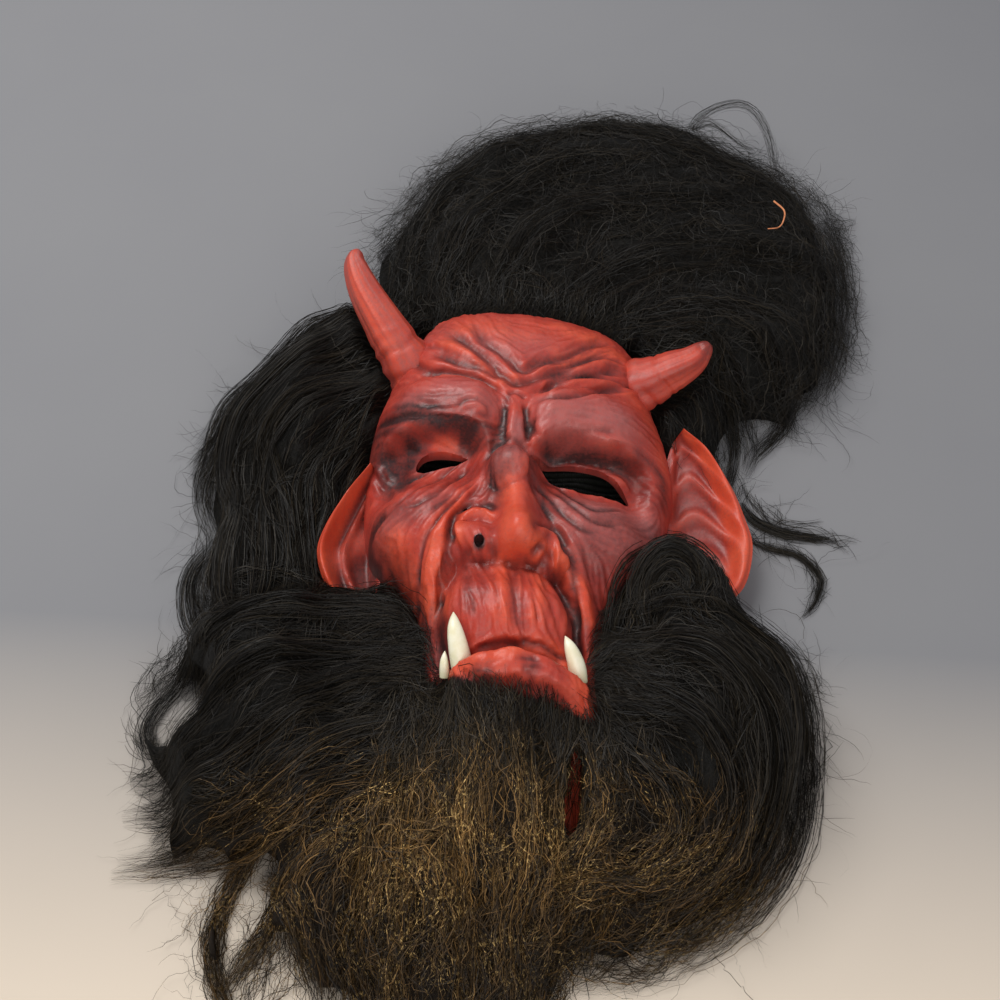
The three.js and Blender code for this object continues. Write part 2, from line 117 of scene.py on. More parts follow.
def follow(pairs, t):
    """A smooth curve through (t, value) pairs, read at every t of an array."""
    table = np.array(pairs, float)
    keys, values = table[:, 0], table[:, 1]
    last = len(keys) - 1
    before = np.maximum(np.arange(last + 1) - 1, 0)
    after = np.minimum(np.arange(last + 1) + 1, last)
    slope = (values[after] - values[before]) / (keys[after] - keys[before])
    t = np.clip(np.asarray(t, float), keys[0], keys[-1])
    i = np.clip(np.searchsorted(keys, t) - 1, 0, last - 1)
    span = keys[i + 1] - keys[i]
    s = (t - keys[i]) / span
    rise = values[i + 1] - values[i]
    start, end = slope[i] * span, slope[i + 1] * span
    return values[i] + start * s + (3 * rise - 2 * start - end) * s**2 + (start + end - 2 * rise) * s**3


def smooth_line(points, per_span=8, closed=False):
    """A Catmull-Rom line through the points, as an array with the same number of columns."""
    p = np.array(points, float)
    if closed:
        p = np.vstack([p[-1:], p, p[:2]])
    else:
        p = np.vstack([2 * p[:1] - p[1:2], p, 2 * p[-1:] - p[-2:-1]])
    made = []
    for i in range(1, len(p) - 2):
        for k in range(per_span):
            s = k / per_span
            made.append(0.5 * (2 * p[i] + (p[i + 1] - p[i - 1]) * s
                               + (2 * p[i - 1] - 5 * p[i] + 4 * p[i + 1] - p[i + 2]) * s**2
                               + (3 * p[i] - p[i - 1] - 3 * p[i + 1] + p[i + 2]) * s**3))
    if not closed:
        made.append(p[-2])
    return np.array(made)


# Maps over the face: a fine grid in X and Y that holds wrinkles, paint and painted light
CELL = 0.6
MAP_LOW = np.array([-135.0, -250.0])
MAP_HIGH = np.array([175.0, 192.0])
MAP_SIZE = np.ceil((MAP_HIGH - MAP_LOW) / CELL).astype(int) + 1
MAP_X = MAP_LOW[0] + CELL * np.arange(MAP_SIZE[0])[:, None]
MAP_Y = MAP_LOW[1] + CELL * np.arange(MAP_SIZE[1])[None, :]


def between_cells(field, u, v):
    """The field's value at places that are counted in cells."""
    u = np.clip(u, 0, field.shape[0] - 1.001)
    v = np.clip(v, 0, field.shape[1] - 1.001)
    i, j = u.astype(int), v.astype(int)
    a, b = u - i, v - j
    top = field[i, j] * (1 - a) + field[i + 1, j] * a
    bottom = field[i, j + 1] * (1 - a) + field[i + 1, j + 1] * a
    return top * (1 - b) + bottom * b


def read_map(field, x, y):
    """The value of a map over the face at points in millimetres."""
    return between_cells(field, (x - MAP_LOW[0]) / CELL, (y - MAP_LOW[1]) / CELL)


def blur(field, size):
    """A soft blur by repeated neighbour averages along both directions."""
    cells = max(int(round(size / CELL)), 1)
    window = 2 * cells + 1
    for _ in range(2):
        for axis in (0, 1):
            margins = [(cells, cells) if k == axis else (0, 0) for k in (0, 1)]
            total = np.cumsum(np.pad(field, margins, mode="edge"), axis=axis)
            zero = np.zeros_like(np.take(total, [0], axis=axis))
            total = np.concatenate([zero, total], axis=axis)
            start = np.arange(field.shape[axis])
            high = np.take(total, start + window, axis=axis)
            field = (high - np.take(total, start, axis=axis)) * (1 / window)
    return field


class Stroke:
    """Distance from a smooth line to every cell of a window of the map."""

    TAPER = 0.16

    def __init__(self, points, reach):
        line = smooth_line(points)
        low = np.clip(((line.min(0) - reach - MAP_LOW) / CELL).astype(int), 0, MAP_SIZE - 2)
        high = np.clip(((line.max(0) + reach - MAP_LOW) / CELL).astype(int) + 2, 1, MAP_SIZE)
        self.window = (slice(low[0], high[0]), slice(low[1], high[1]))
        x = MAP_X[self.window[0]]
        y = MAP_Y[:, self.window[1]]
        self.distance = np.full((x.shape[0], y.shape[1]), 1e9)
        self.along = np.zeros_like(self.distance)
        self.heading = np.zeros(self.distance.shape + (2,))
        steps = np.diff(line, axis=0)
        lengths = np.hypot(steps[:, 0], steps[:, 1])
        total = max(lengths.sum(), 1e-6)
        done = 0.0
        for start, step, length in zip(line[:-1], steps, lengths):
            if length < 1e-6:
                continue
            heading = step / length
            t = np.clip((x - start[0]) * heading[0] + (y - start[1]) * heading[1], 0, length)
            distance = np.hypot(x - start[0] - t * heading[0], y - start[1] - t * heading[1])
            nearer = distance < self.distance
            self.distance = np.where(nearer, distance, self.distance)
            self.along = np.where(nearer, (done + t) / total, self.along)
            self.heading[nearer] = heading
            done += length

    def profile(self, width):
        """One on the line, falling off to both sides, and fading at both ends."""
        ends = ease(0, self.TAPER, self.along) * ease(1, 1 - self.TAPER, self.along)
        return bell(self.distance, width) * ends


# Shapes of the face, in millimetres. Most take X from the centre line of the face.
def pad(x, y, centre_x, centre_y, half_x, half_y):
    return 1 - ease(0.45, 1.25, np.hypot((x - centre_x) / half_x, (y - centre_y) / half_y))


def dome(x, y, lump):
    centre_x, centre_y, half_x, half_y, high = lump
    reach_y = np.where(y < centre_y, 0.72 * half_y, half_y)
    rest = 1 - ((x - centre_x) / half_x) ** 2 - ((y - centre_y) / reach_y) ** 2
    return high * np.maximum(rest, 0) ** 1.15


def nose_rise(x, y):
    ridge = np.maximum(follow(NOSE_RISE, y), 0)
    ridge = ridge * np.exp(-(np.abs(x - BRIDGE_SHIFT) / follow(NOSE_HALF, y)) ** 2.6)
    grown = ridge**2.4
    for lump in (NOSE_TIP, LEFT_WING, RIGHT_WING):
        grown = grown + dome(x, y, lump) ** 2.4
    return grown ** (1 / 2.4) - 4 * bell(y - 25, 3) * bell(x - BRIDGE_SHIFT, 10)


def muzzle_shape(x, y, height):
    half = follow(MUZZLE_HALF, y)
    reach = ease(-30, -60, y) * ease(-144, -124, y)
    a = np.abs(x)
    barrel = -8 * np.minimum(a / half, 1) ** 3
    ribs = 1.1 * np.cos(x * 0.3 + 0.6) * ease(half - 2, half - 12, a)
    groove = -10 * bell(a - half - 2, 3.8)
    fold = 6 * bell(a - half - 11, 6)
    beyond = ease(half - 3, half + 5, a)
    level = mix(height + barrel, follow(SIDE_HEIGHT, y), beyond)
    return mix(height, level + ribs + groove + fold, reach)


def lip_rise(x, y):
    droop = 0.0045 * (x - 2) ** 2 * np.where(x > 0, 1.3, 0.75)
    top = -117.5 - droop + 2.5 * bell(x, 7)
    bottom = -139 - 1.2 * droop
    along = ease(51, 40, x) * ease(-45, -36, x)
    lower = 14 * ease(top + 1, top - 5, y) * ease(bottom - 8, bottom + 6, y)
    return (lower - 6 * bell(y - top - 2, 2.4)) * along


def brow_and_sockets(x, y):
    a = np.abs(x)
    edge = 37 + 3 * bell(a - 50, 24) - 12 * bell(a, 15)
    above = ease(edge - 5, edge + 4, y)
    pad_top = 58 + 24 * (1 - np.exp(-a / 24))
    swell = 0.5 + 0.5 * bell(y - 0.5 * (edge + pad_top), 11)
    brow = 12 * swell * above * ease(pad_top + 5, pad_top - 10, y) * ease(5, 25, a) * ease(100, 66, a)
    brow_crease = -3.5 * bell(y - pad_top - 4, 3) * ease(8, 14, a) * ease(96, 76, a)
    knot = 6 * bell(x, 5) * bell(y - 40, 13)
    creases = -3 * bell(a - 10, 2.6) * bell(y - 41, 13)
    socket = -18 * ease(edge + 3, edge - 6, y) * ease(-6, 18, y) * ease(11, 28, a) * ease(98, 78, a)
    lid = 7 * bell(x + 46, 13) * bell(y - 36, 5)
    turn = np.where(x < 0, 74, 88)
    outer = -10 * bell(a - turn, 7) * ease(38, 22, y) * ease(-18, 6, y)
    cheek = 7 * pad(a, y, 64, -24, 30, 24)
    return brow + brow_crease + knot + creases + socket + lid + outer + cheek


def front_height(world_x, y):
    x = world_x - follow(CENTRE_X, y)
    height = muzzle_shape(x, y, follow(MID_HEIGHT, y))
    return height + nose_rise(x, y) + lip_rise(x, y) + brow_and_sockets(x, y) - TILT * world_x


def sunk_height(x, y, wall):
    """The front sunk by the wall, below the lowest of the points around."""
    height = front_height(x, y) - wall
    for reach in (3.5, 7.5):
        for k in range(8):
            angle = k * math.pi / 4
            around = front_height(x + reach * math.cos(angle), y + reach * math.sin(angle))
            height = np.minimum(height, around - 0.7 * wall)
    return height


# Wrinkles whose creases get only a little painted shade, by the start of their names
LIGHT_CREASE_SHADE = ("forehead", "upper_lip", "brow", "nose", "wing", "socket")
# Wrinkles and folds drawn on the face: name, height (a crease is below zero), width, points
STROKES = [
    ("forehead_v1", -3.7, 3.2, [(-36, 138), (-27, 116), (-13, 102), (1, 88), (13, 97), (29, 106),
                                (51, 129), (67, 140)]),
    ("forehead_v2", -4.1, 3.2, [(-57, 128), (-37, 112), (-21, 94), (-9, 80), (0, 77), (20, 88),
                                (43, 109), (67, 132)]),
    ("forehead_v3_left", -3.5, 3.0, [(-60, 109), (-42, 92), (-24, 85), (-10, 76)]),
    ("forehead_v3_right", -3.5, 3.0, [(13, 64), (28, 88), (47, 96), (70, 111)]),
    ("forehead_small_a", -1.9, 1.6, [(22, 78), (40, 92), (62, 98), (84, 104)]),
    ("forehead_small_b", -1.7, 1.6, [(30, 100), (50, 114), (74, 122)]),
    ("forehead_small_c", -1.7, 1.6, [(-66, 118), (-48, 104), (-30, 92)]),
    ("brow_top_left", -3.2, 2.4, [(-93, 138), (-65, 92), (-49, 85), (-29, 79), (-16, 71), (-8, 63)]),
    ("brow_top_right", -3.0, 2.4, [(7, 60), (16, 61), (35, 65), (57, 85), (76, 100)]),
    ("knot_left", -2.4, 1.8, [(-8, 57), (-9, 43), (-9, 29)]),
    ("knot_right", -2.2, 1.6, [(4, 60), (6, 46), (8, 30)]),
    ("knot_top", -1.6, 1.4, [(-8, 65), (-3, 67), (5, 63)]),
    ("brow_right_inner", -2.0, 1.6, [(12, 49), (9, 42), (15, 33), (23, 36)]),
    ("brow_right_low", -1.6, 1.8, [(15, 32), (29, 39), (47, 43), (68, 47)]),
    ("brow_right_edge", 1.5, 2.4, [(8, 29), (22, 35), (44, 40), (66, 40), (85, 38)]),
    ("lid_right", 1.6, 1.8, [(13, 16), (38, 31), (60, 31), (72, 27), (77, 20)]),
    ("socket_left", -2.6, 2.0, [(-96, 67), (-84, 53), (-65, 45), (-43, 40), (-27, 36), (-15, 34)]),
    ("brow_left_a", -0.7, 1.6, [(-88, 76), (-66, 60), (-47, 57), (-28, 55)]),
    ("brow_left_b", -0.8, 1.8, [(-84, 60), (-62, 51), (-41, 44), (-21, 42)]),
    ("brow_swirl", -1.3, 1.3, [(-40, 47), (-31, 52), (-20, 50), (-19, 44), (-27, 43)]),
    ("knob_top", -1.5, 1.8, [(-20, 14), (-17, 22), (-11, 28), (-2, 30), (7, 26), (12, 16)]),
    ("knob_left", -1.0, 2.2, [(-16, 18), (-14, 6), (-12, -6)]),
    ("knob_right", -0.9, 2.2, [(12, 16), (11, 4), (14, -8)]),
    ("tear_left_a", -1.5, 1.5, [(-33, 28), (-49, 23), (-62, 16), (-73, 14)]),
    ("tear_left_b", -1.5, 1.5, [(-31, 25), (-44, 19), (-56, 4), (-71, -9), (-77, -15)]),
    ("tear_left_c", -1.3, 1.4, [(-27, 19), (-36, 14), (-48, -7), (-59, -16), (-72, -17)]),
    ("tear_left_d", -1.1, 1.3, [(-24, 14), (-32, 4), (-42, -12), (-52, -26)]),
    ("cheek_long_left", -1.6, 1.0, [(-21, 9), (-30, -3), (-38, -15), (-46, -29), (-52, -39), (-55, -48),
                                    (-56, -58), (-53, -71)]),
    ("mouth_fold_left", -2.4, 2.8, [(-18, 5), (-24, -5), (-31, -18), (-37, -30), (-38, -40), (-39, -51),
                                    (-42, -63), (-45, -74)]),
    ("mouth_ridge_left", 2.0, 3.6, [(-30, -14), (-41, -31), (-47, -46), (-49, -62), (-50, -74)]),
    ("cheek_edge_left", -1.8, 2.2, [(-78, -16), (-85, -18), (-90, -21), (-92, -27), (-87, -38),
                                    (-81, -46)]),
    ("socket_out_left", 1.4, 2.0, [(-93, 34), (-86, 24), (-78, 13), (-73, -5)]),
    ("tear_right_a", -1.6, 1.5, [(14, 11), (26, 15), (39, 0), (54, -8), (73, 6)]),
    ("tear_right_b", -1.6, 1.6, [(12, 4), (21, -2), (31, -14), (42, -25), (55, -28)]),
    ("tear_right_c", -1.3, 1.5, [(16, -4), (25, -22), (32, -33), (36, -42)]),
    ("tear_right_d", -1.1, 1.3, [(20, 9), (34, -4), (50, -18), (70, -16)]),
    ("rim_right", 1.3, 1.8, [(19, 18), (34, 14), (49, 9), (75, 18)]),
    ("mouth_fold_right", -2.4, 2.2, [(28, -35), (37, -47), (40, -65), (42, -78), (43, -92)]),
    ("mouth_ridge_right", 2.0, 3.2, [(27, -44), (36, -50), (44, -64), (49, -78), (51, -93)]),
    ("wing_left", -2.2, 1.8, [(-35, -46), (-37, -34), (-35, -21), (-27, -15), (-16, -15), (-9, -22)]),
    ("wing_left_rim", 2.8, 2.4, [(-29, -46), (-32, -36), (-31, -25), (-24, -20), (-15, -21), (-10, -29)]),
    ("wing_right_rim", 2.2, 2.0, [(15, -38), (22, -33), (28, -41), (28, -49), (20, -54)]),
    ("tip_left", -1.2, 2.2, [(-12, -34), (-10, -44), (-12, -54)]),
    ("wing_left_low", -1.2, 1.6, [(-35, -42), (-30, -49), (-23, -53)]),
    ("wing_right", -1.8, 1.8, [(13, -44), (17, -31), (26, -27), (32, -37), (32, -50)]),
    ("wing_right_slit", -2.4, 1.3, [(11, -52), (15, -50), (20, -44)]),
    ("nose_base", -2.0, 2.0, [(-6, -53), (0, -57), (7, -55), (14, -57), (20, -54), (27, -44)]),
    ("mouth_line", -2.2, 1.6, [(-21, -115), (-11, -112), (-2, -110), (6, -110), (12, -109), (21, -110),
                               (34, -113), (46, -112)]),
    ("lip_right_end", 2.6, 4.0, [(30, -118), (40, -119), (49, -127), (51, -138)]),
    ("lip_bottom", -2.0, 2.6, [(-31, -130), (-18, -139), (-5, -141), (8, -140), (24, -140), (35, -143),
                               (44, -146)]),
    ("lip_top", 1.0, 1.6, [(-15, -114), (-7, -110), (0, -109), (4, -108), (11, -110), (18, -108),
                           (23, -111)]),
    ("upper_lip_rib_a", -1.0, 2.4, [(-25, -62), (-25, -81), (-22, -93), (-19, -100)]),
    ("upper_lip_rib_b", -0.8, 1.6, [(-12, -60), (-7, -82), (-4, -95), (-3, -102)]),
    ("upper_lip_rib_c", -1.0, 2.2, [(0, -60), (3, -80), (4, -94), (6, -105)]),
    ("upper_lip_rib_d", -0.9, 1.6, [(12, -62), (14, -78), (18, -92), (18, -101)]),
    ("upper_lip_rib_e", -0.8, 1.6, [(20, -62), (23, -74), (29, -88), (33, -101)]),
    ("jaw_left_a", -1.8, 1.8, [(-41, -69), (-39, -98), (-36, -120)]),
    ("jaw_left_b", -1.6, 1.8, [(-58, -67), (-49, -94), (-46, -104), (-43, -119)]),
    ("jaw_left_c", -1.2, 1.6, [(-73, -55), (-63, -68), (-56, -94)]),
    ("jaw_right", -1.5, 1.8, [(30, -62), (41, -82), (43, -98), (46, -112)]),
]

# Colour for each paint, partly the mask's airbrushed colour and partly painted light: dark is a dark wash
# with painted shade, orange painted highlight, pink pinkish-grey paint with painted sheen, and the last list
# clears the dark from places in the light. Each mark: how much, how wide, points
PAINT = {
    # Dark wash, with painted shade in the sockets, in the folds and around the nose
    "dark": [
        (0.9, 3.6, [(-80, 48), (-66, 42), (-54, 40.5), (-40, 39.5), (-26, 38.5), (-15, 35)]),
        (0.9, 6, [(-95, 58), (-88, 50), (-74, 47), (-58, 46)]),
        (0.95, 8, [(-91, 40), (-87, 30), (-76, 16)]),
        (0.9, 5.5, [(-70, 42), (-67, 34), (-72, 16)]),
        (0.7, 3, [(-36, 33), (-23, 31), (-11, 27)]),
        (0.7, 1.8, [(-9, 30), (-11, 39), (-9, 53), (-7, 62)]),
        (0.6, 5, [(-12, 22), (-6, 16), (2, 15)]),
        (0.35, 1.8, [(6, 30), (8, 41), (6, 54)]),
        (0.8, 3.0, [(9, 16), (24, 31), (46, 35.5), (67, 36.5), (86, 41), (97, 36), (99, 20)]),
        (0.45, 3.6, [(24, 29), (46, 34), (68, 34), (85, 30), (91, 17)]),
        (0.75, 5, [(-11, 8), (-13, -3), (-13, -15)]),
        (0.6, 5, [(12, 6), (17, -4), (22, -15)]),
        (0.55, 8, [(31, 1), (50, -12), (72, -13), (95, -6)]),
        (0.45, 10, [(34, -27), (51, -36), (68, -37)]),
        (0.5, 8, [(47, -46), (56, -59), (53, -75)]),
        (0.35, 4, [(-71, -15), (-55, -8), (-40, 13), (-22, 15)]),
        (0.75, 6, [(-89, -19), (-89, -29), (-81, -44), (-72, -54)]),
        (0.5, 6, [(-82, -15), (-64, -22), (-45, -17)]),
        (0.6, 7, [(-61, -65), (-53, -88), (-47, -109)]),
        (0.5, 3.4, [(-27, -58), (-26, -75), (-22, -92)]),
        (0.35, 3, [(-18, -62), (-15, -83)]),
        (0.4, 3, [(2, -62), (5, -84), (8, -101)]),
        (0.45, 3, [(24, -60), (32, -70), (36, -86)]),
        (0.9, 4.5, [(-14, -134), (-11, -136)]),
        (0.9, 4.5, [(14, -127), (15, -130)]),
        (0.25, 4, [(-56, 135), (-44, 116)]),
        (0.3, 4, [(-49, 95), (-31, 89)]),
        (0.2, 5, [(0, 96), (17, 101)]),
        (0.25, 4, [(24, 88), (42, 96)]),
        (0.4, 4, [(61, 111), (81, 108)]),
        (0.45, 4, [(-79, 53), (-54, 45)]),
        (0.3, 3, [(20, -58), (30, -56), (37, -64)]),
        (0.7, 3, [(-36, -96), (-34, -109), (-35, -118)]),
        (0.6, 3, [(46, -85), (47, -100)]),
        (0.5, 6, [(-80, 56), (-60, 50), (-38, 50)]),
        (0.4, 3.2, [(-25, -50), (-20, -44), (-14, -46)]),
        (0.5, 2.2, [(-9, -52), (-12, -57), (-22, -56)]),
        (0.55, 2.0, [(9, -54), (14, -52), (20, -48)]),
        (0.4, 2.4, [(-6, -58), (4, -61), (16, -59)]),
        (0.45, 6, [(-8, 18), (-7, 4)]),
    ],
    # Painted highlight on crests: forehead folds, lids, nose, cheek folds, lip and neck
    "orange": [
        (0.6, 9, [(-38, 133), (-15, 124), (19, 132), (49, 134)]),
        (0.6, 5, [(-48, 114), (-27, 88), (-9, 79)]),
        (0.6, 5, [(26, 101), (49, 118), (68, 126)]),
        (0.6, 2.2, [(-53, 33), (-46, 34), (-38, 32.5)]),
        (0.95, 6, [(-6, 1), (0, -26), (5, -46)]),
        (0.95, 2.6, [(-32, -42), (-31, -26), (-22, -21), (-13, -24)]),
        (0.6, 8, [(1, -46), (8, -45)]),
        (0.85, 4, [(20, -43), (26, -46)]),
        (0.85, 8, [(-77, -33), (-69, -47), (-60, -60), (-51, -80)]),
        (0.95, 5, [(-35, -17), (-46, -39), (-46, -63), (-42, -83)]),
        (0.85, 7, [(-26, -130), (-3, -123), (16, -112), (41, -117), (48, -136)]),
        (0.75, 5, [(-2, -96), (-3, -76), (-6, -57)]),
        (0.7, 4, [(16, -94), (19, -70), (14, -57)]),
        (0.8, 4, [(31, -52), (42, -66), (46, -82)]),
        (0.45, 6, [(77, 91), (92, 74), (99, 51)]),
        (0.9, 9, [(44, -168), (44, -190), (42, -214)]),
    ],
    # Pinkish-grey paint, with painted sheen on the brow pads and the cheeks
    "pink": [
        (0.75, 11, [(23, 48), (44, 52), (66, 55)]),
        (0.55, 8, [(-70, 55), (-44, 58), (-20, 53)]),
        (0.85, 4, [(0, 34), (0, 41)]),
        (0.7, 8, [(34, -4), (62, -6), (84, 2)]),
        (0.6, 12, [(48, -26), (76, -30), (92, -10)]),
        (0.4, 5, [(-54, -18), (-42, -7)]),
        (0.6, 7, [(-6, 6), (-4, 14)]),
        (0.35, 12, [(-23, 111), (8, 113)]),
        (0.4, 6, [(-79, -25), (-70, -25)]),
    ],
    # Places in the light that are kept clear of the dark wash and painted shade
    "unshaded": [
        (0.8, 1.9, [(-53, 33), (-47, 34), (-40, 33)]),
        (0.8, 9, [(-2, -30), (2, -48)]),
        (0.7, 3, [(-31, -44), (-31, -28), (-22, -21), (-13, -24)]),
    ],
}
# The nostril's place and radius
NOSTRIL = (-19.3, -47.8, 3.0)
NOSTRIL_DEPTH = 9.0


def soft_noise(rng, size):
    """Smooth noise over the map, with hills about this wide, from -1 to 1."""
    raw = blur(rng.standard_normal(tuple(MAP_SIZE)), size)
    return np.clip(raw / (2.2 * raw.std()), -1, 1)


def streaks(rng, turn_x, turn_y, steps):
    """Noise drawn out along a field of directions, as fine wrinkles are."""
    noise = blur(rng.standard_normal(tuple(MAP_SIZE)), CELL)
    total = noise.copy()
    start = np.meshgrid(np.arange(MAP_SIZE[0]), np.arange(MAP_SIZE[1]), indexing="ij")
    for sign in (1, -1):
        u, v = (g.astype(float) for g in start)
        past_x, past_y = sign * turn_x, sign * turn_y
        for _ in range(steps):
            i = np.clip(u.astype(int), 0, MAP_SIZE[0] - 1)
            j = np.clip(v.astype(int), 0, MAP_SIZE[1] - 1)
            go_x, go_y = turn_x[i, j], turn_y[i, j]
            same = np.where(go_x * past_x + go_y * past_y < 0, -1, 1)
            past_x, past_y = go_x * same, go_y * same
            u = np.clip(u + past_x, 0, MAP_SIZE[0] - 1)
            v = np.clip(v + past_y, 0, MAP_SIZE[1] - 1)
            total += noise[u.astype(int), v.astype(int)]
    total -= blur(total, 2.4)
    return np.clip(total / (2.2 * total.std()), -1, 1)


def draw_maps():
    """The relief map, in millimetres, and the paint maps, from 0 to 1, which carry painted shade in hollows
    and painted highlight on crests.
    """
    rng = np.random.default_rng(11)
    relief = np.zeros(tuple(MAP_SIZE))
    shade = np.zeros(tuple(MAP_SIZE))
    double_x = np.zeros(tuple(MAP_SIZE))
    double_y = np.zeros(tuple(MAP_SIZE))
    wander_x, wander_y = 0.8 * soft_noise(rng, 5), 0.8 * soft_noise(rng, 5)
    for name, height, width, points in STROKES:
        stroke = Stroke(points, 26)
        w = stroke.window
        line = stroke.profile(width)
        # Every crease gets painted shade along its line, more for deeper creases
        crease_shade = 0.17 if name.startswith(LIGHT_CREASE_SHADE) else 0.24
        if height < 0:
            lips = stroke.profile(2.6 * width) - stroke.profile(1.4 * width)
            relief[w] += height * line - 0.55 * height * lips
            shade[w] = np.maximum(shade[w], min(-crease_shade * height, 0.9) * stroke.profile(1.1 * width))
        else:
            relief[w] += height * line
        weight = bell(stroke.distance, 9)
        hx, hy = stroke.heading[..., 0], stroke.heading[..., 1]
        double_x[w] += weight * (hx * hx - hy * hy)
        double_y[w] += weight * 2 * hx * hy
    # Where nothing is drawn, wrinkles run across the forehead and down the rest of the face.
    upper = ease(35, 70, MAP_Y + 0 * MAP_X)
    double_x += 0.06 * mix(-1.0, 1.0, upper)
    angle = 0.5 * np.arctan2(blur(double_y, 2), blur(double_x, 2)) + 0.35 * soft_noise(rng, 6)
    fine = streaks(rng, np.cos(angle), np.sin(angle), 10)
    long = streaks(rng, np.cos(angle), np.sin(angle), 26)
    pores = soft_noise(rng, 0.7)
    lumps = soft_noise(rng, 3.5)
    plain_nose = pad(MAP_X - 3, MAP_Y, 0, -30, 20, 34)
    lip_zone = pad(MAP_X, MAP_Y, 8, -128, 42, 13)
    wrinkled = 1 - 0.75 * plain_nose - 0.4 * lip_zone
    relief += wrinkled * (0.42 * fine + 0.5 * long) + 0.1 * pores + 0.45 * lumps
    knob = np.maximum(1 - ((MAP_X + 5) / 14) ** 2 - ((MAP_Y - 10) / 15) ** 2, 0)
    nostril = bell(np.hypot(MAP_X - NOSTRIL[0], MAP_Y - NOSTRIL[1]), 4.5)
    relief += 5.0 * knob**0.7 - 2.0 * nostril
    relief += lip_zone * (0.35 * soft_noise(rng, 1.2) + 0.3 * soft_noise(rng, 2.0))
    x, y = MAP_X + wander_x, MAP_Y + wander_y
    moved_x = np.clip((x - MAP_LOW[0]) / CELL, 0, MAP_SIZE[0] - 1.001).astype(int)
    moved_y = np.clip((y - MAP_LOW[1]) / CELL, 0, MAP_SIZE[1] - 1.001).astype(int)
    paint = {}
    for kind, marks in PAINT.items():
        shares = np.zeros_like(relief)
        for amount, width, points in marks:
            stroke = Stroke(points, 3.2 * width)
            w = stroke.window
            mark = amount * np.where(stroke.distance < 3.1 * width, bell(stroke.distance, width), 0)
            shares[w] = 1 - (1 - shares[w]) * (1 - mark)
        paint[kind] = shares[moved_x, moved_y]
    # Hollows and creases take painted shade and crests take painted highlight, on top of the marks above
    hollow = blur(relief, 2.2) - relief
    every_x, every_y = MAP_X + 0 * MAP_Y, MAP_Y + 0 * MAP_X
    whole = front_height(every_x, every_y)
    deep = blur(whole, 6) - whole
    paint["dark"] = np.clip(paint["dark"] * (0.82 + 0.3 * long) + 0.75 * shade + 0.24 * hollow + 0.05 * deep
                            + 0.06 * long, 0, 1) * (1 - paint["unshaded"])
    # The chin under the hair is painted dark: painted shade under the hair
    paint["dark"] = np.maximum(paint["dark"], chin_share(every_x, every_y))
    paint["orange"] = np.clip(paint["orange"] + 0.35 * np.clip(-hollow, 0, 1) + 0.06 * np.clip(-deep, 0, 4)
                              + 0.12 * lumps - 0.5 * paint["dark"], 0, 1)
    paint["pink"] = np.clip(paint["pink"] + 0.1 * fine, 0, 1)
    return relief, paint


def loft(rings):
    """Points and faces of a closed body through rings that all have the same number of points."""
    count, size = rings.shape[:2]
    r = np.arange(count - 1)[:, None] * size
    k = np.arange(size)[None, :]
    after = (k + 1) % size
    quads = np.stack([r + k, r + after, r + size + after, r + size + k], axis=-1).reshape(-1, 4)
    fan = np.arange(1, size - 1)
    end = (count - 1) * size
    low = np.stack([0 * fan, fan + 1, fan], axis=-1)
    high = np.stack([end + 0 * fan, end + fan, end + fan + 1], axis=-1)
    return rings.reshape(-1, 3), quads, np.vstack([low, high])


def build(name, points, quads, triangles=None):
    """A mesh object from points in millimetres."""
    mesh = bpy.data.meshes.new(name)
    triangles = np.zeros((0, 3), int) if triangles is None else triangles
    corners = np.concatenate([quads.ravel(), triangles.ravel()]).astype(np.int32)
    starts = np.concatenate([4 * np.arange(len(quads)), 4 * len(quads) + 3 * np.arange(len(triangles))])
    mesh.vertices.add(len(points))
    mesh.vertices.foreach_set("co", (np.asarray(points) * MM).astype(np.float32).ravel())
    mesh.loops.add(len(corners))
    mesh.loops.foreach_set("vertex_index", corners)
    mesh.polygons.add(len(starts))
    mesh.polygons.foreach_set("loop_start", starts.astype(np.int32))
    mesh.update(calc_edges=True)
    thing = bpy.data.objects.new(name, mesh)
    bpy.context.scene.collection.objects.link(thing)
    return thing


def read_vectors(items, key):
    flat = np.zeros(3 * len(items), np.float32)
    items.foreach_get(key, flat)
    return flat.reshape(-1, 3).astype(float)


def points_of(thing):
    return read_vectors(thing.data.vertices, "co") / MM


def normals_of(thing):
    return read_vectors(thing.data.vertex_normals, "vector")


def place_points(thing, points):
    thing.data.vertices.foreach_set("co", (points * MM).astype(np.float32).ravel())
    thing.data.update()


def triangles_of(thing):
    thing.data.calc_loop_triangles()
    flat = np.zeros(3 * len(thing.data.loop_triangles), np.int32)
    thing.data.loop_triangles.foreach_get("vertices", flat)
    return flat.reshape(-1, 3)


def solid(name, rings):
    """A closed body through the rings, with its faces turned outward."""
    thing = build(name, *loft(rings))
    p = points_of(thing)[triangles_of(thing)]
    if np.einsum("ij,ij->i", p[:, 0], np.cross(p[:, 1], p[:, 2])).sum() < 0:
        thing.data.flip_normals()
    return thing


def modify(thing, kind, **settings):
    modifier = thing.modifiers.new(kind.lower(), kind)
    for key, value in settings.items():
        setattr(modifier, key, value)


def apply_modifiers(thing):
    graph = bpy.context.evaluated_depsgraph_get()
    fresh = bpy.data.meshes.new_from_object(thing.evaluated_get(graph))
    thing.modifiers.clear()
    thing.data = fresh


def combine(thing, other, operation):
    """Joins or cuts with another closed body, which is then gone."""
    modify(thing, "BOOLEAN", operation=operation, solver="MANIFOLD", object=other)
    apply_modifiers(thing)
    bpy.data.objects.remove(other)


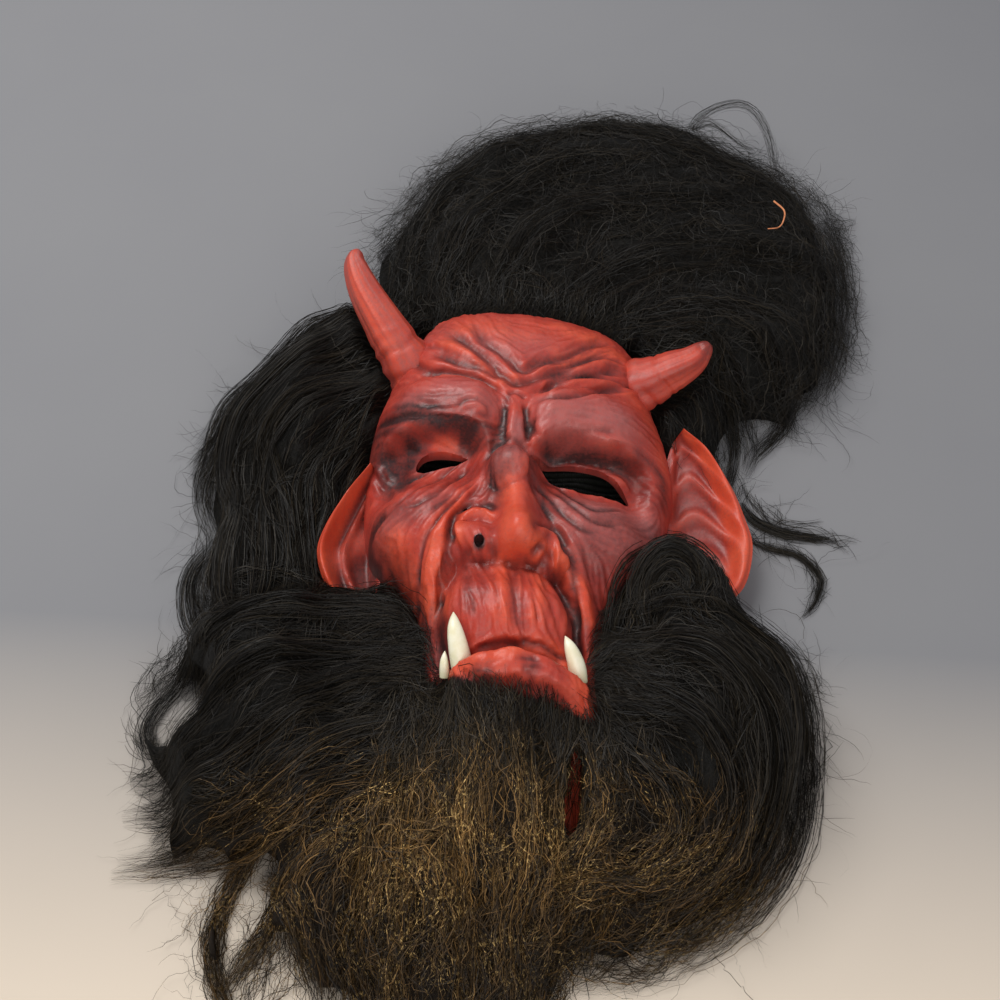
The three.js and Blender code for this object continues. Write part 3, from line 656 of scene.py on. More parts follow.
def finish_piece(thing, look, slot, *replaced):
    """Gives a piece its material and smooth shading, hangs it on the root body and hides the solids of the
    frame that it stands for.
    """
    thing.data.materials.clear()
    thing.data.materials.append(look)
    thing.data.shade_smooth()
    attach(thing, "root")
    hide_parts(*replaced)


def face_columns(count):
    """Shares of the half width, closer together where the side of the face drops."""
    t = np.linspace(0, 1, 4001)
    drop = (1 - t**2.6) ** 0.36
    length = np.concatenate([[0], np.cumsum(np.hypot(np.diff(t), 0.32 * np.diff(drop)))])
    return np.interp(np.linspace(0, length[-1], count + 1), length, t)


def face_rings(rows, shares, half, wall, relief):
    """Rings across the face. A row has a Y and a share of the full height."""
    y = np.array(rows)[:, None] + np.zeros((1, 2 * len(half) - 1))
    share = np.array(shares)[:, None]
    t = np.concatenate([half[:0:-1], half])[None, :]
    sign = np.concatenate([-np.ones(len(half) - 1), np.ones(len(half))])[None, :]
    middle = follow(CENTRE_X, y)
    width = np.where(sign < 0, follow(LEFT_WIDTH, y), follow(RIGHT_WIDTH, y)) - wall
    x = middle + sign * width * t
    squareness = mix(0.33, 0.4, ease(-60, 20, y)) - 0.1 * ease(90, 130, y)
    drop = np.maximum(1 - t**2.6, 0) ** squareness
    front = front_height(x, y) if wall == 0 else sunk_height(x, y, wall)
    hook = NOSE_HOOK * np.clip(nose_rise(x - middle, y) / 29, 0, 1) * ease(-34, -50, y)
    bulge = CROWN_BULGE * ease(ROLL_START - 40, ROLL_START + ROLL_DEPTH, y) * (1 - t * t)
    base = RIM if wall == 0 else RIM - CUT_DEPTH
    rings = np.stack([x, y + bulge - hook, base + (front - base) * drop * share], axis=-1)
    if relief is not None:
        across = np.gradient(rings, axis=1)
        down = np.gradient(rings, axis=0)
        normal = np.cross(across, down)
        normal /= np.maximum(np.linalg.norm(normal, axis=-1, keepdims=True), 1e-9)
        near = ease(0.1, 0.5, np.abs(normal[..., 2])) * ease(RIM + 2, RIM + 14, rings[..., 2])
        rings += normal * (read_map(relief, x, y) * near)[..., None]
    return rings, x, y


def face_block(step, columns, wall, relief=None):
    end = NECK_END if wall == 0 else NECK_END - CUT_DEPTH
    neck = np.arange(end, -158, 7 * step)
    rows = list(neck) + list(np.arange(neck[-1] + step, ROLL_START, step))
    shares = [1.0] * len(rows)
    roll = np.linspace(0, math.pi / 2, int(26 / step) + 6)[0 if rows[-1] < ROLL_START - 0.6 * step else 1:]
    rows += list(ROLL_START + (ROLL_DEPTH - wall) * np.sin(roll) ** 0.8)
    shares += list(np.maximum(np.cos(roll), 0) ** 0.75)
    shares[-1] = 0.0
    return face_rings(rows, shares, face_columns(columns), wall, relief)


def frames_along(path, t):
    """Centre, across and up vectors at shares of a smooth line through the path."""
    line = smooth_line(path, 24)
    index = t * (len(line) - 1)
    low = np.clip(index.astype(int), 0, len(line) - 2)
    part = (index - low)[:, None]
    centre = line[low] * (1 - part) + line[low + 1] * part
    tangent = line[np.clip(low + 1, 0, len(line) - 1)] - line[np.clip(low - 1, 0, len(line) - 1)]
    tangent /= np.linalg.norm(tangent, axis=1, keepdims=True)
    across = np.cross(tangent, [0, 0, 1.0])
    across /= np.linalg.norm(across, axis=1, keepdims=True)
    return centre, across, np.cross(across, tangent)


def tube_rings(path, stations, sides, section):
    t = np.linspace(0, 1, stations)
    centre, across, up = frames_along(path, t)
    angle = np.linspace(0, 2 * math.pi, sides, endpoint=False)
    radius = section(t[:, None], angle[None, :])
    return (centre[:, None] + across[:, None] * (radius * np.cos(angle))[..., None]
            + up[:, None] * (radius * np.sin(angle))[..., None])


# The middle lines of the horns, and their radius along the way from root to tip
LEFT_HORN = [(-66, 98, 46), (-78, 113, 64), (-92, 129, 76), (-109, 152, 88), (-117, 168, 97),
             (-116.5, 178, 102)]
RIGHT_HORN = [(68, 109, 36), (87, 113, 49), (102, 118, 56), (115, 123, 62), (124, 129, 68),
              (128.5, 131, 74)]
HORN_RADIUS = [(0, 19), (0.18, 17.6), (0.3, 15.8), (0.5, 13), (0.7, 9.8), (0.88, 6.2), (0.96, 4.2),
               (1, 1.4)]
HORN_STATIONS, HORN_SIDES = 64, 52


def horn_rings(path, seed):
    """A bent horn with fine lengthwise grooves and uneven wrinkles at its root."""
    rng = np.random.default_rng(seed)
    waves = [(k, rng.uniform(0, TURN), rng.uniform(-2.5, 2.5), rng.uniform(0.3, 1)) for k in (7, 11, 17, 23)]
    wrinkles = [(at, rng.uniform(0, TURN), rng.uniform(0.008, 0.02), rng.choice([-1.5, 1.2]))
                for at in np.linspace(0.16, 0.44, 9)]
    lean = rng.uniform(0, TURN, 2)

    def section(t, angle):
        uneven = 1 + 0.05 * np.cos(5 * angle + 2 * t) + 0.03 * np.cos(2 * angle + 5 * t)
        radius = follow(HORN_RADIUS, t) * uneven
        grooves = sum(size * np.cos(k * angle + start + turn * t) for k, start, turn, size in waves)
        moved = t + 0.025 * np.cos(angle + lean[0]) + 0.014 * np.cos(3 * angle + lean[1])
        rings = 0.0
        for at, start, size, height in wrinkles:
            rings = rings + height * bell(moved - at, size) * ease(-0.2, 0.9, np.cos(angle - start))
        return radius + 0.02 * radius * grooves * ease(0.15, 0.4, t) + rings * ease(0.5, 0.3, t)

    return tube_rings(path, HORN_STATIONS, HORN_SIDES, section)


# Stations of the ears from the lobe to the tip: a point on the root and one on the rim
LEFT_EAR = [
    ((-86, -56, 34), (-106, -63, 35)), ((-84, -44, 31), (-119, -48, 38)), ((-86, -28, 30), (-126, -28, 42)),
    ((-88, -10, 31), (-122, -9, 46)), ((-88, 10, 35), (-111, 13, 50)), ((-88, 28, 41), (-97, 33, 53)),
]
RIGHT_EAR = [
    ((106, -44, 17), (137, -46, 22)), ((99, -30, 17), (154, -27, 23)), ((97, -6, 19), (160, 1, 26)),
    ((98, 20, 21), (155, 22, 29)), ((100, 46, 25), (146, 43, 34)), ((104, 66, 29), (131, 67, 39)),
    ((107, 76, 32), (114, 80, 42)),
]


def ear_rings(stations, sink, ribs, ridge):
    """Rings from the lobe to the tip, and how far each point is out from the root and up a rib."""
    rows, columns, by_rim = 76, 36, 14
    s = np.linspace(0, 1, rows)
    root = smooth_line([a for a, _ in stations], 16)
    rim = smooth_line([b for _, b in stations], 16)
    at = s * (len(root) - 1)
    pick = [np.interp(at, np.arange(len(root)), line[:, k]) for line in (root, rim) for k in range(3)]
    root, rim = np.stack(pick[:3], -1)[:, None], np.stack(pick[3:], -1)[:, None]
    front = np.concatenate([np.linspace(0, 0.72, columns - by_rim), np.linspace(0.745, 1.0, by_rim)])
    back = np.linspace(0.95, 0, by_rim)
    r = np.concatenate([front, back])[None, :, None]
    on_front = (np.arange(r.shape[1]) < columns)[None, :, None]
    sides = s[:, None, None]
    point = root * (1 - r) + rim * r
    inside = ease(0, 0.25, r) * ease(0.97, 0.74, r) * np.sin(math.pi * np.clip(sides, 0.001, 0.999)) ** 0.5
    sweep = 0.42 * r**2 if ridge < 0 else 0.15 * ((r - 0.44) / 0.34) ** 2
    wave = (0.5 + 0.5 * np.cos(2 * math.pi * ribs * (sides + sweep))) ** 2.2
    rib = 3.4 * inside * (wave - 0.3)
    curve = 0.14 if ridge > 0 else 0.42 + 0.16 * np.sin(math.pi * sides)
    line = abs(ridge) * bell(r - curve, 0.05) * ease(0, 0.15, sides) * ease(1, 0.85, sides)
    roll = 5.0 * bell(r - 0.87, 0.085)
    top = -sink * inside + rib + line + roll
    bottom = -sink * inside - 5 - 3 * bell(r - 0.9, 0.1)
    edge = ease(0.93, 1.0, r)
    lift = np.where(on_front, mix(top, -2, edge), mix(bottom, -2, ease(0.98, 1.0, r)))
    point = point + np.concatenate([0 * lift, 0 * lift, lift], axis=-1)
    return point, (r + 0 * sides)[..., 0], np.where(on_front[..., 0], (rib / 2.4 + line / 3)[..., 0], 0)


def plug(name, outline, low, high):
    """An upright body over the outline, to cut with."""
    line = smooth_line(outline, 8, closed=True)
    ring = [np.column_stack([line, np.full(len(line), z)]) for z in (low, high)]
    return solid(name, np.array(ring))


# Materials
def material(name, **values):
    """A new material with its node tree, its shader and the place of every shaded point."""
    made = bpy.data.materials.new(name)
    made.use_nodes = True
    tree = made.node_tree
    shader = tree.nodes["Principled BSDF"]
    for socket, value in values.items():
        shader.inputs[socket.replace("_", " ")].default_value = value
    return made, tree, shader, add_node(tree, "ShaderNodeTexCoord").outputs["Object"]


def add_node(tree, kind, inputs=(), **settings):
    """A node with its settings, and its inputs given as (socket, value or another node's output)."""
    node = tree.nodes.new(kind)
    for key, value in settings.items():
        setattr(node, key, value)
    for socket, value in inputs:
        if isinstance(value, bpy.types.NodeSocket):
            tree.links.new(value, node.inputs[socket])
        else:
            node.inputs[socket].default_value = value
    return node


def blend_colour(tree, factor, first, second):
    inputs = [(0, factor), (6, first), (7, second)]
    return add_node(tree, "ShaderNodeMix", inputs, data_type="RGBA", blend_type="MIX").outputs[2]


def calculate(tree, operation, first, second, clamp=False):
    inputs = [(0, first), (1, second)]
    return add_node(tree, "ShaderNodeMath", inputs, operation=operation, use_clamp=clamp).outputs[0]


def stored_colour(tree, name):
    return add_node(tree, "ShaderNodeAttribute", attribute_name=name).outputs["Color"]


def channels(tree, colour):
    return add_node(tree, "ShaderNodeSeparateColor", [("Color", colour)]).outputs


def noise(tree, place, scale, detail=4.0, roughness=0.55, distortion=0.0):
    node = add_node(tree, "ShaderNodeTexNoise", [("Vector", place), ("Scale", scale), ("Detail", detail),
                                                 ("Roughness", roughness), ("Distortion", distortion)])
    return node.outputs["Fac"]


def ramp(tree, value, low, high, out_low=0.0, out_high=1.0):
    node = add_node(tree, "ShaderNodeMapRange", [("Value", value), ("From Min", low), ("From Max", high),
                                                 ("To Min", out_low), ("To Max", out_high)])
    return node.outputs["Result"]


def blend_between(tree, value, low, high, first, second):
    """From the first colour to the second while the value goes from low to high."""
    return blend_colour(tree, ramp(tree, value, low, high), first, second)


def bump(tree, height, strength, distance, normal=None):
    inputs = [("Height", height), ("Strength", strength), ("Distance", distance)]
    if normal is not None:
        inputs.append(("Normal", normal))
    return add_node(tree, "ShaderNodeBump", inputs).outputs["Normal"]


def latex_material():
    made, tree, shader, place = material("painted_latex", Roughness=0.42, Specular_IOR_Level=0.45)
    parts = channels(tree, stored_colour(tree, "paint"))
    cloudy = noise(tree, place, 55, 5, 0.6)
    speckle = noise(tree, place, 420, 3, 0.7)
    fine = noise(tree, place, 900, 2, 0.5)
    # The red is the mask's own paint; orange carries painted highlight, pink pinkish-grey paint with painted
    # sheen, and dark a dark wash with painted shade
    red = blend_between(tree, cloudy, 0.3, 0.72, (0.36, 0.032, 0.022, 1), (0.50, 0.056, 0.034, 1))
    orange = blend_between(tree, cloudy, 0.35, 0.7, (0.60, 0.062, 0.026, 1), (0.70, 0.10, 0.042, 1))
    pink = (0.40, 0.125, 0.115, 1)
    dark = blend_between(tree, cloudy, 0.3, 0.7, (0.026, 0.010, 0.010, 1), (0.055, 0.017, 0.016, 1))
    worn = ramp(tree, speckle, 0.35, 0.65, -0.12, 0.12)
    colour = red
    for name, over in (("Green", orange), ("Blue", pink), ("Red", dark)):
        colour = blend_colour(tree, calculate(tree, "ADD", parts[name], worn, clamp=True), colour, over)
    flecks = ramp(tree, fine, 0.66, 0.74, 0.0, 0.35)
    colour = blend_colour(tree, flecks, colour, (0.055, 0.018, 0.016, 1))
    tree.links.new(colour, shader.inputs["Base Color"])
    tree.links.new(ramp(tree, cloudy, 0.25, 0.75, 0.34, 0.5), shader.inputs["Roughness"])
    first = bump(tree, noise(tree, place, 700, 3, 0.6), 0.35, 0.0003)
    tree.links.new(bump(tree, noise(tree, place, 260, 4, 0.6), 0.3, 0.0008, first), shader.inputs["Normal"])
    return made


def tooth_material():
    made, tree, shader, place = material("tooth_cream", Roughness=0.3, Specular_IOR_Level=0.5)
    tone = noise(tree, place, 160, 4, 0.6)
    low = add_node(tree, "ShaderNodeAttribute", attribute_name="paint").outputs["Fac"]
    cream = blend_between(tree, tone, 0.35, 0.7, (0.80, 0.74, 0.50, 1), (0.88, 0.84, 0.66, 1))
    colour = blend_colour(tree, low, cream, (0.42, 0.40, 0.20, 1))
    tree.links.new(colour, shader.inputs["Base Color"])
    tree.links.new(bump(tree, tone, 0.25, 0.0004), shader.inputs["Normal"])
    return made


def knit_material():
    made, tree, shader, place = material("dark_knit", Roughness=0.92, Specular_IOR_Level=0.2,
                                         Sheen_Weight=0.25)
    ribs = add_node(tree, "ShaderNodeTexWave", [("Vector", place), ("Scale", 62.0), ("Distortion", 0.6),
                                                ("Detail", 2.0), ("Detail Scale", 2.0)], bands_direction="Y")
    stitches = add_node(tree, "ShaderNodeTexWave", [("Vector", place), ("Scale", 190.0),
                                                    ("Distortion", 1.5),
                                                    ("Detail", 1.0)], bands_direction="X")
    fuzz = noise(tree, place, 900, 3, 0.7)
    tone = blend_colour(tree, ribs.outputs["Fac"], (0.010, 0.011, 0.009, 1), (0.062, 0.068, 0.055, 1))
    tone = blend_colour(tree, ramp(tree, fuzz, 0.35, 0.7, 0.0, 0.5), tone, (0.016, 0.018, 0.015, 1))
    tree.links.new(tone, shader.inputs["Base Color"])
    normal = bump(tree, ribs.outputs["Fac"], 0.9, 0.0012)
    tree.links.new(bump(tree, stitches.outputs["Fac"], 0.5, 0.0005, normal), shader.inputs["Normal"])
    return made


def hair_material():
    made, tree, shader, place = material("dark_hair", Roughness=0.52, Specular_IOR_Level=0.24)
    parts = channels(tree, stored_colour(tree, "tone"))
    # The red of the tone is painted warm light on the lower beard; the green lightens strands on lock crests
    # and in the lit spot; the glints are painted highlight
    patchy = noise(tree, place, 90, 3, 0.6)
    broad = ramp(tree, noise(tree, place, 34, 3, 0.6), 0.42, 0.60, 0.1, 1.0)
    black = blend_colour(tree, parts["Green"], (0.0025, 0.0019, 0.0013, 1), (0.042, 0.031, 0.017, 1))
    warm_light = blend_colour(tree, parts["Green"], (0.004, 0.0023, 0.0009, 1), (0.28, 0.150, 0.045, 1))
    glints = ramp(tree, noise(tree, place, 460, 2, 0.6), 0.54, 0.62)
    sparkle = calculate(tree, "MULTIPLY", glints, parts["Blue"], clamp=True)
    warm_light = blend_colour(tree, calculate(tree, "MULTIPLY", sparkle, broad), warm_light, (1.0, 0.66, 0.24, 1))
    amount = calculate(tree, "MULTIPLY", parts["Red"], ramp(tree, patchy, 0.3, 0.7, 0.45, 1.2), clamp=True)
    tree.links.new(blend_colour(tree, amount, black, warm_light), shader.inputs["Base Color"])
    return made


def hair_body_material():
    made, tree, shader, place = material("hair_mass", Roughness=0.7, Specular_IOR_Level=0.2)
    tone = noise(tree, place, 260, 6, 0.7, 0.8)
    # The red of the tone is painted warm light on the lower hair
    warm_light = channels(tree, stored_colour(tree, "tone"))["Red"]
    black = blend_between(tree, tone, 0.3, 0.75, (0.002, 0.0018, 0.0015, 1), (0.008, 0.007, 0.005, 1))
    warm_lit = blend_between(tree, tone, 0.3, 0.75, (0.002, 0.0013, 0.0006, 1), (0.018, 0.010, 0.004, 1))
    tree.links.new(blend_colour(tree, warm_light, black, warm_lit), shader.inputs["Base Color"])
    tree.links.new(bump(tree, tone, 0.9, 0.003), shader.inputs["Normal"])
    return made


def thread_material():
    made, tree, shader, place = material("orange_thread", Roughness=0.7)
    colour = blend_colour(tree, noise(tree, place, 500, 3), (0.5, 0.14, 0.05, 1), (0.75, 0.32, 0.14, 1))
    tree.links.new(colour, shader.inputs["Base Color"])
    return made


def floor_material():
    made, tree, shader, place = material("pale_floor", Roughness=0.75, Specular_IOR_Level=0.25)
    away = add_node(tree, "ShaderNodeSeparateXYZ", [("Vector", place)]).outputs["Y"]
    # The floor turns from grey to warm beige towards low Y: painted warm sunlight
    cool = blend_colour(tree, noise(tree, place, 6, 3), (0.215, 0.215, 0.225, 1), (0.235, 0.235, 0.24, 1))
    warm_lit = blend_colour(tree, noise(tree, place, 6, 3), (0.66, 0.57, 0.46, 1), (0.70, 0.60, 0.49, 1))
    colour = blend_between(tree, away, -0.06, -0.30, cool, warm_lit)
    tree.links.new(colour, shader.inputs["Base Color"])
    return made


def colour_points(thing, name, values):
    """Stores a colour for every point."""
    layer = thing.data.color_attributes.new(name, "FLOAT_COLOR", "POINT")
    full = np.ones((len(values), 4), np.float32)
    full[:, : values.shape[1]] = values
    layer.data.foreach_set("color", full.ravel())


# The path and the radius of each tooth
TEETH = {
    "tusk_left": ([(-24, -128, 84), (-27, -118, 92), (-30, -107, 98), (-31.5, -97, 99)], 6.4),
    "tusk_right": ([(43.6, -126, 73), (42, -119, 80.5), (38, -111, 87), (34.5, -104, 89)], 5.6),
    "small_tooth": ([(-35, -128, 76), (-35.5, -122, 83), (-35.5, -116, 86)], 3),
}
TOOTH_STATIONS, TOOTH_SIDES = 40, 32
# Room that the latex leaves around each tooth
TOOTH_ROOM = 0.35


def tooth_rings(path, radius, stations, sides):
    def section(t, angle):
        blunt = np.maximum(1 - t**2.1, 0) ** 0.8
        flat = 1 + 0.1 * np.cos(2 * angle)
        return radius * np.maximum(blunt, 0.05) * (1 - 0.1 * (1 - t)) * flat
    return tube_rings(path, stations, sides, section)


def make_teeth():
    cream = tooth_material()
    share = np.repeat(np.linspace(0, 1, TOOTH_STATIONS), TOOTH_SIDES)
    for name, (path, radius) in TEETH.items():
        thing = solid(name + "_detail", tooth_rings(path, radius, TOOTH_STATIONS, TOOTH_SIDES))
        colour_points(thing, "paint", np.repeat(np.clip(0.55 - 1.4 * share, 0, 1)[:, None], 3, axis=1))
        finish_piece(thing, cream, "tooth", name)


# The latex cast
def make_latex():
    """The face, the horns and the ears in one, hollow behind, as one painted cast."""
    relief, paint = draw_maps()
    rings, x, y = face_block(FACE_STEP, FACE_COLUMNS, 0, relief)
    face_paint = np.stack([read_map(paint[k], x, y) for k in ("dark", "orange", "pink")], -1).reshape(-1, 3)
    # The nostril is painted black: painted shade in the hole
    spot = np.hypot(x - NOSTRIL[0], y - NOSTRIL[1]).reshape(-1)
    face_paint[:, 0] = np.maximum(face_paint[:, 0], ease(NOSTRIL[2] + 2.2, NOSTRIL[2], spot))
    sources = [(rings.reshape(-1, 3), face_paint)]
    cast = solid("latex_detail", rings)
    add_horns(cast, sources)
    add_ears(cast, sources)
    cut_openings(cast)
    keep_largest(cast)
    paint_cast(cast, sources)
    finish_piece(cast, latex_material(), "painted_latex", "latex_face")
    cast.data.set_sharp_from_angle(angle=math.radians(58))
    return cast


def add_horns(cast, sources):
    for path, seed, side in ((LEFT_HORN, 3, -1), (RIGHT_HORN, 4, 1)):
        rings = horn_rings(path, seed)
        stations, sides = rings.shape[:2]
        t = np.repeat(np.linspace(0, 1, stations), sides)
        angle = np.tile(np.linspace(0, 2 * math.pi, sides, endpoint=False), stations)
        # Dark lines run along each horn and the right tip is darker; orange and pink are painted highlight,
        # more of it on the left horn
        groove = 0.5 + 0.5 * np.cos(11 * angle + 1.5 * t + side) * np.cos(7 * angle - 2 * t)
        dark = 0.25 * groove * ease(0.25, 0.5, t) + (0.45 if side > 0 else 0.12) * ease(0.7, 1.0, t)
        dark = dark + 0.2 * ease(0.42, 0.2, t) * (0.5 + 0.5 * np.cos(9 * angle + 30 * t))
        orange = (0.55 if side < 0 else 0.3) * (1 - groove) + 0.3 * bell(t - 0.5, 0.2)
        pink = (0.35 if side < 0 else 0.1) * groove
        sources.append((rings.reshape(-1, 3), np.stack([dark, orange, pink], -1)))
        combine(cast, solid("horn", rings), "UNION")


def add_ears(cast, sources):
    for stations, sink, ribs, ridge, side in ((LEFT_EAR, 12, 1.6, -4.0, -1), (RIGHT_EAR, 9, 5.5, 3.0, 1)):
        rings, r, rib = ear_rings(stations, sink, ribs, ridge)
        rim, rib = ease(0.68, 0.82, r), np.clip(rib, 0, 1)
        # Painted shade in the hollow of each ear, deeper in the left one, and painted highlight on the rims
        # and ribs
        dark = (0.6 - 0.15 * side) * (1 - rim) * (1 - 0.75 * rib) * ease(0, 0.12, r)
        orange = 0.95 * rim + 0.5 * rib
        sources.append((rings.reshape(-1, 3), np.stack([dark, orange, 0.25 * rib], -1).reshape(-1, 3)))
        combine(cast, solid("ear", rings), "UNION")


def cut_openings(cast):
    """Cuts the hollow behind the face, the eyes, the nostril and the room of the teeth."""
    inner, _, _ = face_block(HOLLOW_STEP, HOLLOW_COLUMNS, WALL)
    combine(cast, solid("hollow", inner), "DIFFERENCE")
    for eye in (LEFT_EYE, RIGHT_EYE):
        combine(cast, plug("eye_plug", eye, RIM + 1, EYE_CUT_TOP), "DIFFERENCE")
    x, y, radius = NOSTRIL
    around = np.linspace(0, 2 * math.pi, 14, endpoint=False)
    hole = [(x + radius * math.cos(a), y + radius * math.sin(a)) for a in around]
    bottom = float(front_height(np.array([x]), np.array([y]))[0]) - NOSTRIL_DEPTH
    combine(cast, plug("nostril", hole, bottom, NOSTRIL_CUT_TOP), "DIFFERENCE")
    for path, size in TEETH.values():
        combine(cast, solid("tooth_room", tooth_rings(path, size + TOOTH_ROOM, 30, 28)), "DIFFERENCE")


def keep_largest(thing):
    """Drops loose crumbs that a cut has left."""
    mesh = bmesh.new()
    mesh.from_mesh(thing.data)
    seen, groups = set(), []
    for start in mesh.verts:
        if start.index in seen:
            continue
        group, queue = [], [start]
        seen.add(start.index)
        while queue:
            point = queue.pop()
            group.append(point)
            for edge in point.link_edges:
                other = edge.other_vert(point)
                if other.index not in seen:
                    seen.add(other.index)
                    queue.append(other)
        groups.append(group)
    groups.sort(key=len)
    for group in groups[:-1]:
        bmesh.ops.delete(mesh, geom=group, context="VERTS")
    mesh.to_mesh(thing.data)
    mesh.free()


def paint_cast(cast, sources):
    """Each point takes the nearest painted point's paint. The inside is plain, the nostril painted black as
    its shade.
    """
    places = np.vstack([p for p, _ in sources])
    paints = np.vstack([c for _, c in sources])
    tree = KDTree(len(places))
    for i, p in enumerate(places):
        tree.insert(p, i)
    tree.balance()
    made = np.zeros((len(cast.data.vertices), 3))
    inside = np.array([0.35, 0.0, 0.35])
    for i, p in enumerate(points_of(cast)):
        _, index, distance = tree.find(p)
        made[i] = mix(paints[index], inside, min(max(distance - 1.0, 0) / 2.5, 1))
        # The nostril is painted black as painted shade in the hole
        if math.hypot(p[0] - NOSTRIL[0], p[1] - NOSTRIL[1]) < NOSTRIL[2] + 0.2:
            made[i] = (1, 0, 0)
    colour_points(cast, "paint", made)


# The knit panel that closes the back
KNIT_THICKNESS = 1.8
KNIT_LOW = 0.3
KNIT_BASE = 2.7
KNIT_START, KNIT_END = -119.5, ROLL_START + 11.5
KNIT_ROWS, KNIT_COLUMNS = 80, 70


def make_hood():
    """A stretched cloth with soft folds, which closes the back and shows through the eyes."""
    rows = np.linspace(KNIT_START, KNIT_END, KNIT_ROWS)
    across = np.linspace(-1, 1, KNIT_COLUMNS)
    y = rows[:, None] + 0 * across[None, :]
    side = across[None, :]
    width = np.where(side < 0, follow(LEFT_WIDTH, y), follow(RIGHT_WIDTH, y)) - 2.0
    x = follow(CENTRE_X, y) + side * width
    edge = ease(1.0, 0.86, np.abs(side)) * ease(-119, -106, y) * ease(150, 138, y)
    soft = (2.6 * np.sin(x / 9.0 + 1.4 * np.sin(y / 17.0)) * np.sin(y / 13.0 + 0.8 * np.sin(x / 21.0))
            + 1.8 * np.sin(y / 7.0 + 0.05 * x))
    z = KNIT_BASE + edge * (3.6 + soft)
    top = np.stack([x, y, z], -1)
    under = np.stack([x, y, np.maximum(z - KNIT_THICKNESS, KNIT_LOW)], -1)
    rings = np.concatenate([top, under[:, ::-1]], axis=1)
    thing = solid("knit_hood_detail", rings)
    finish_piece(thing, knit_material(), "knit", "knit_hood")
    thing.data.set_sharp_from_angle(angle=math.radians(50))


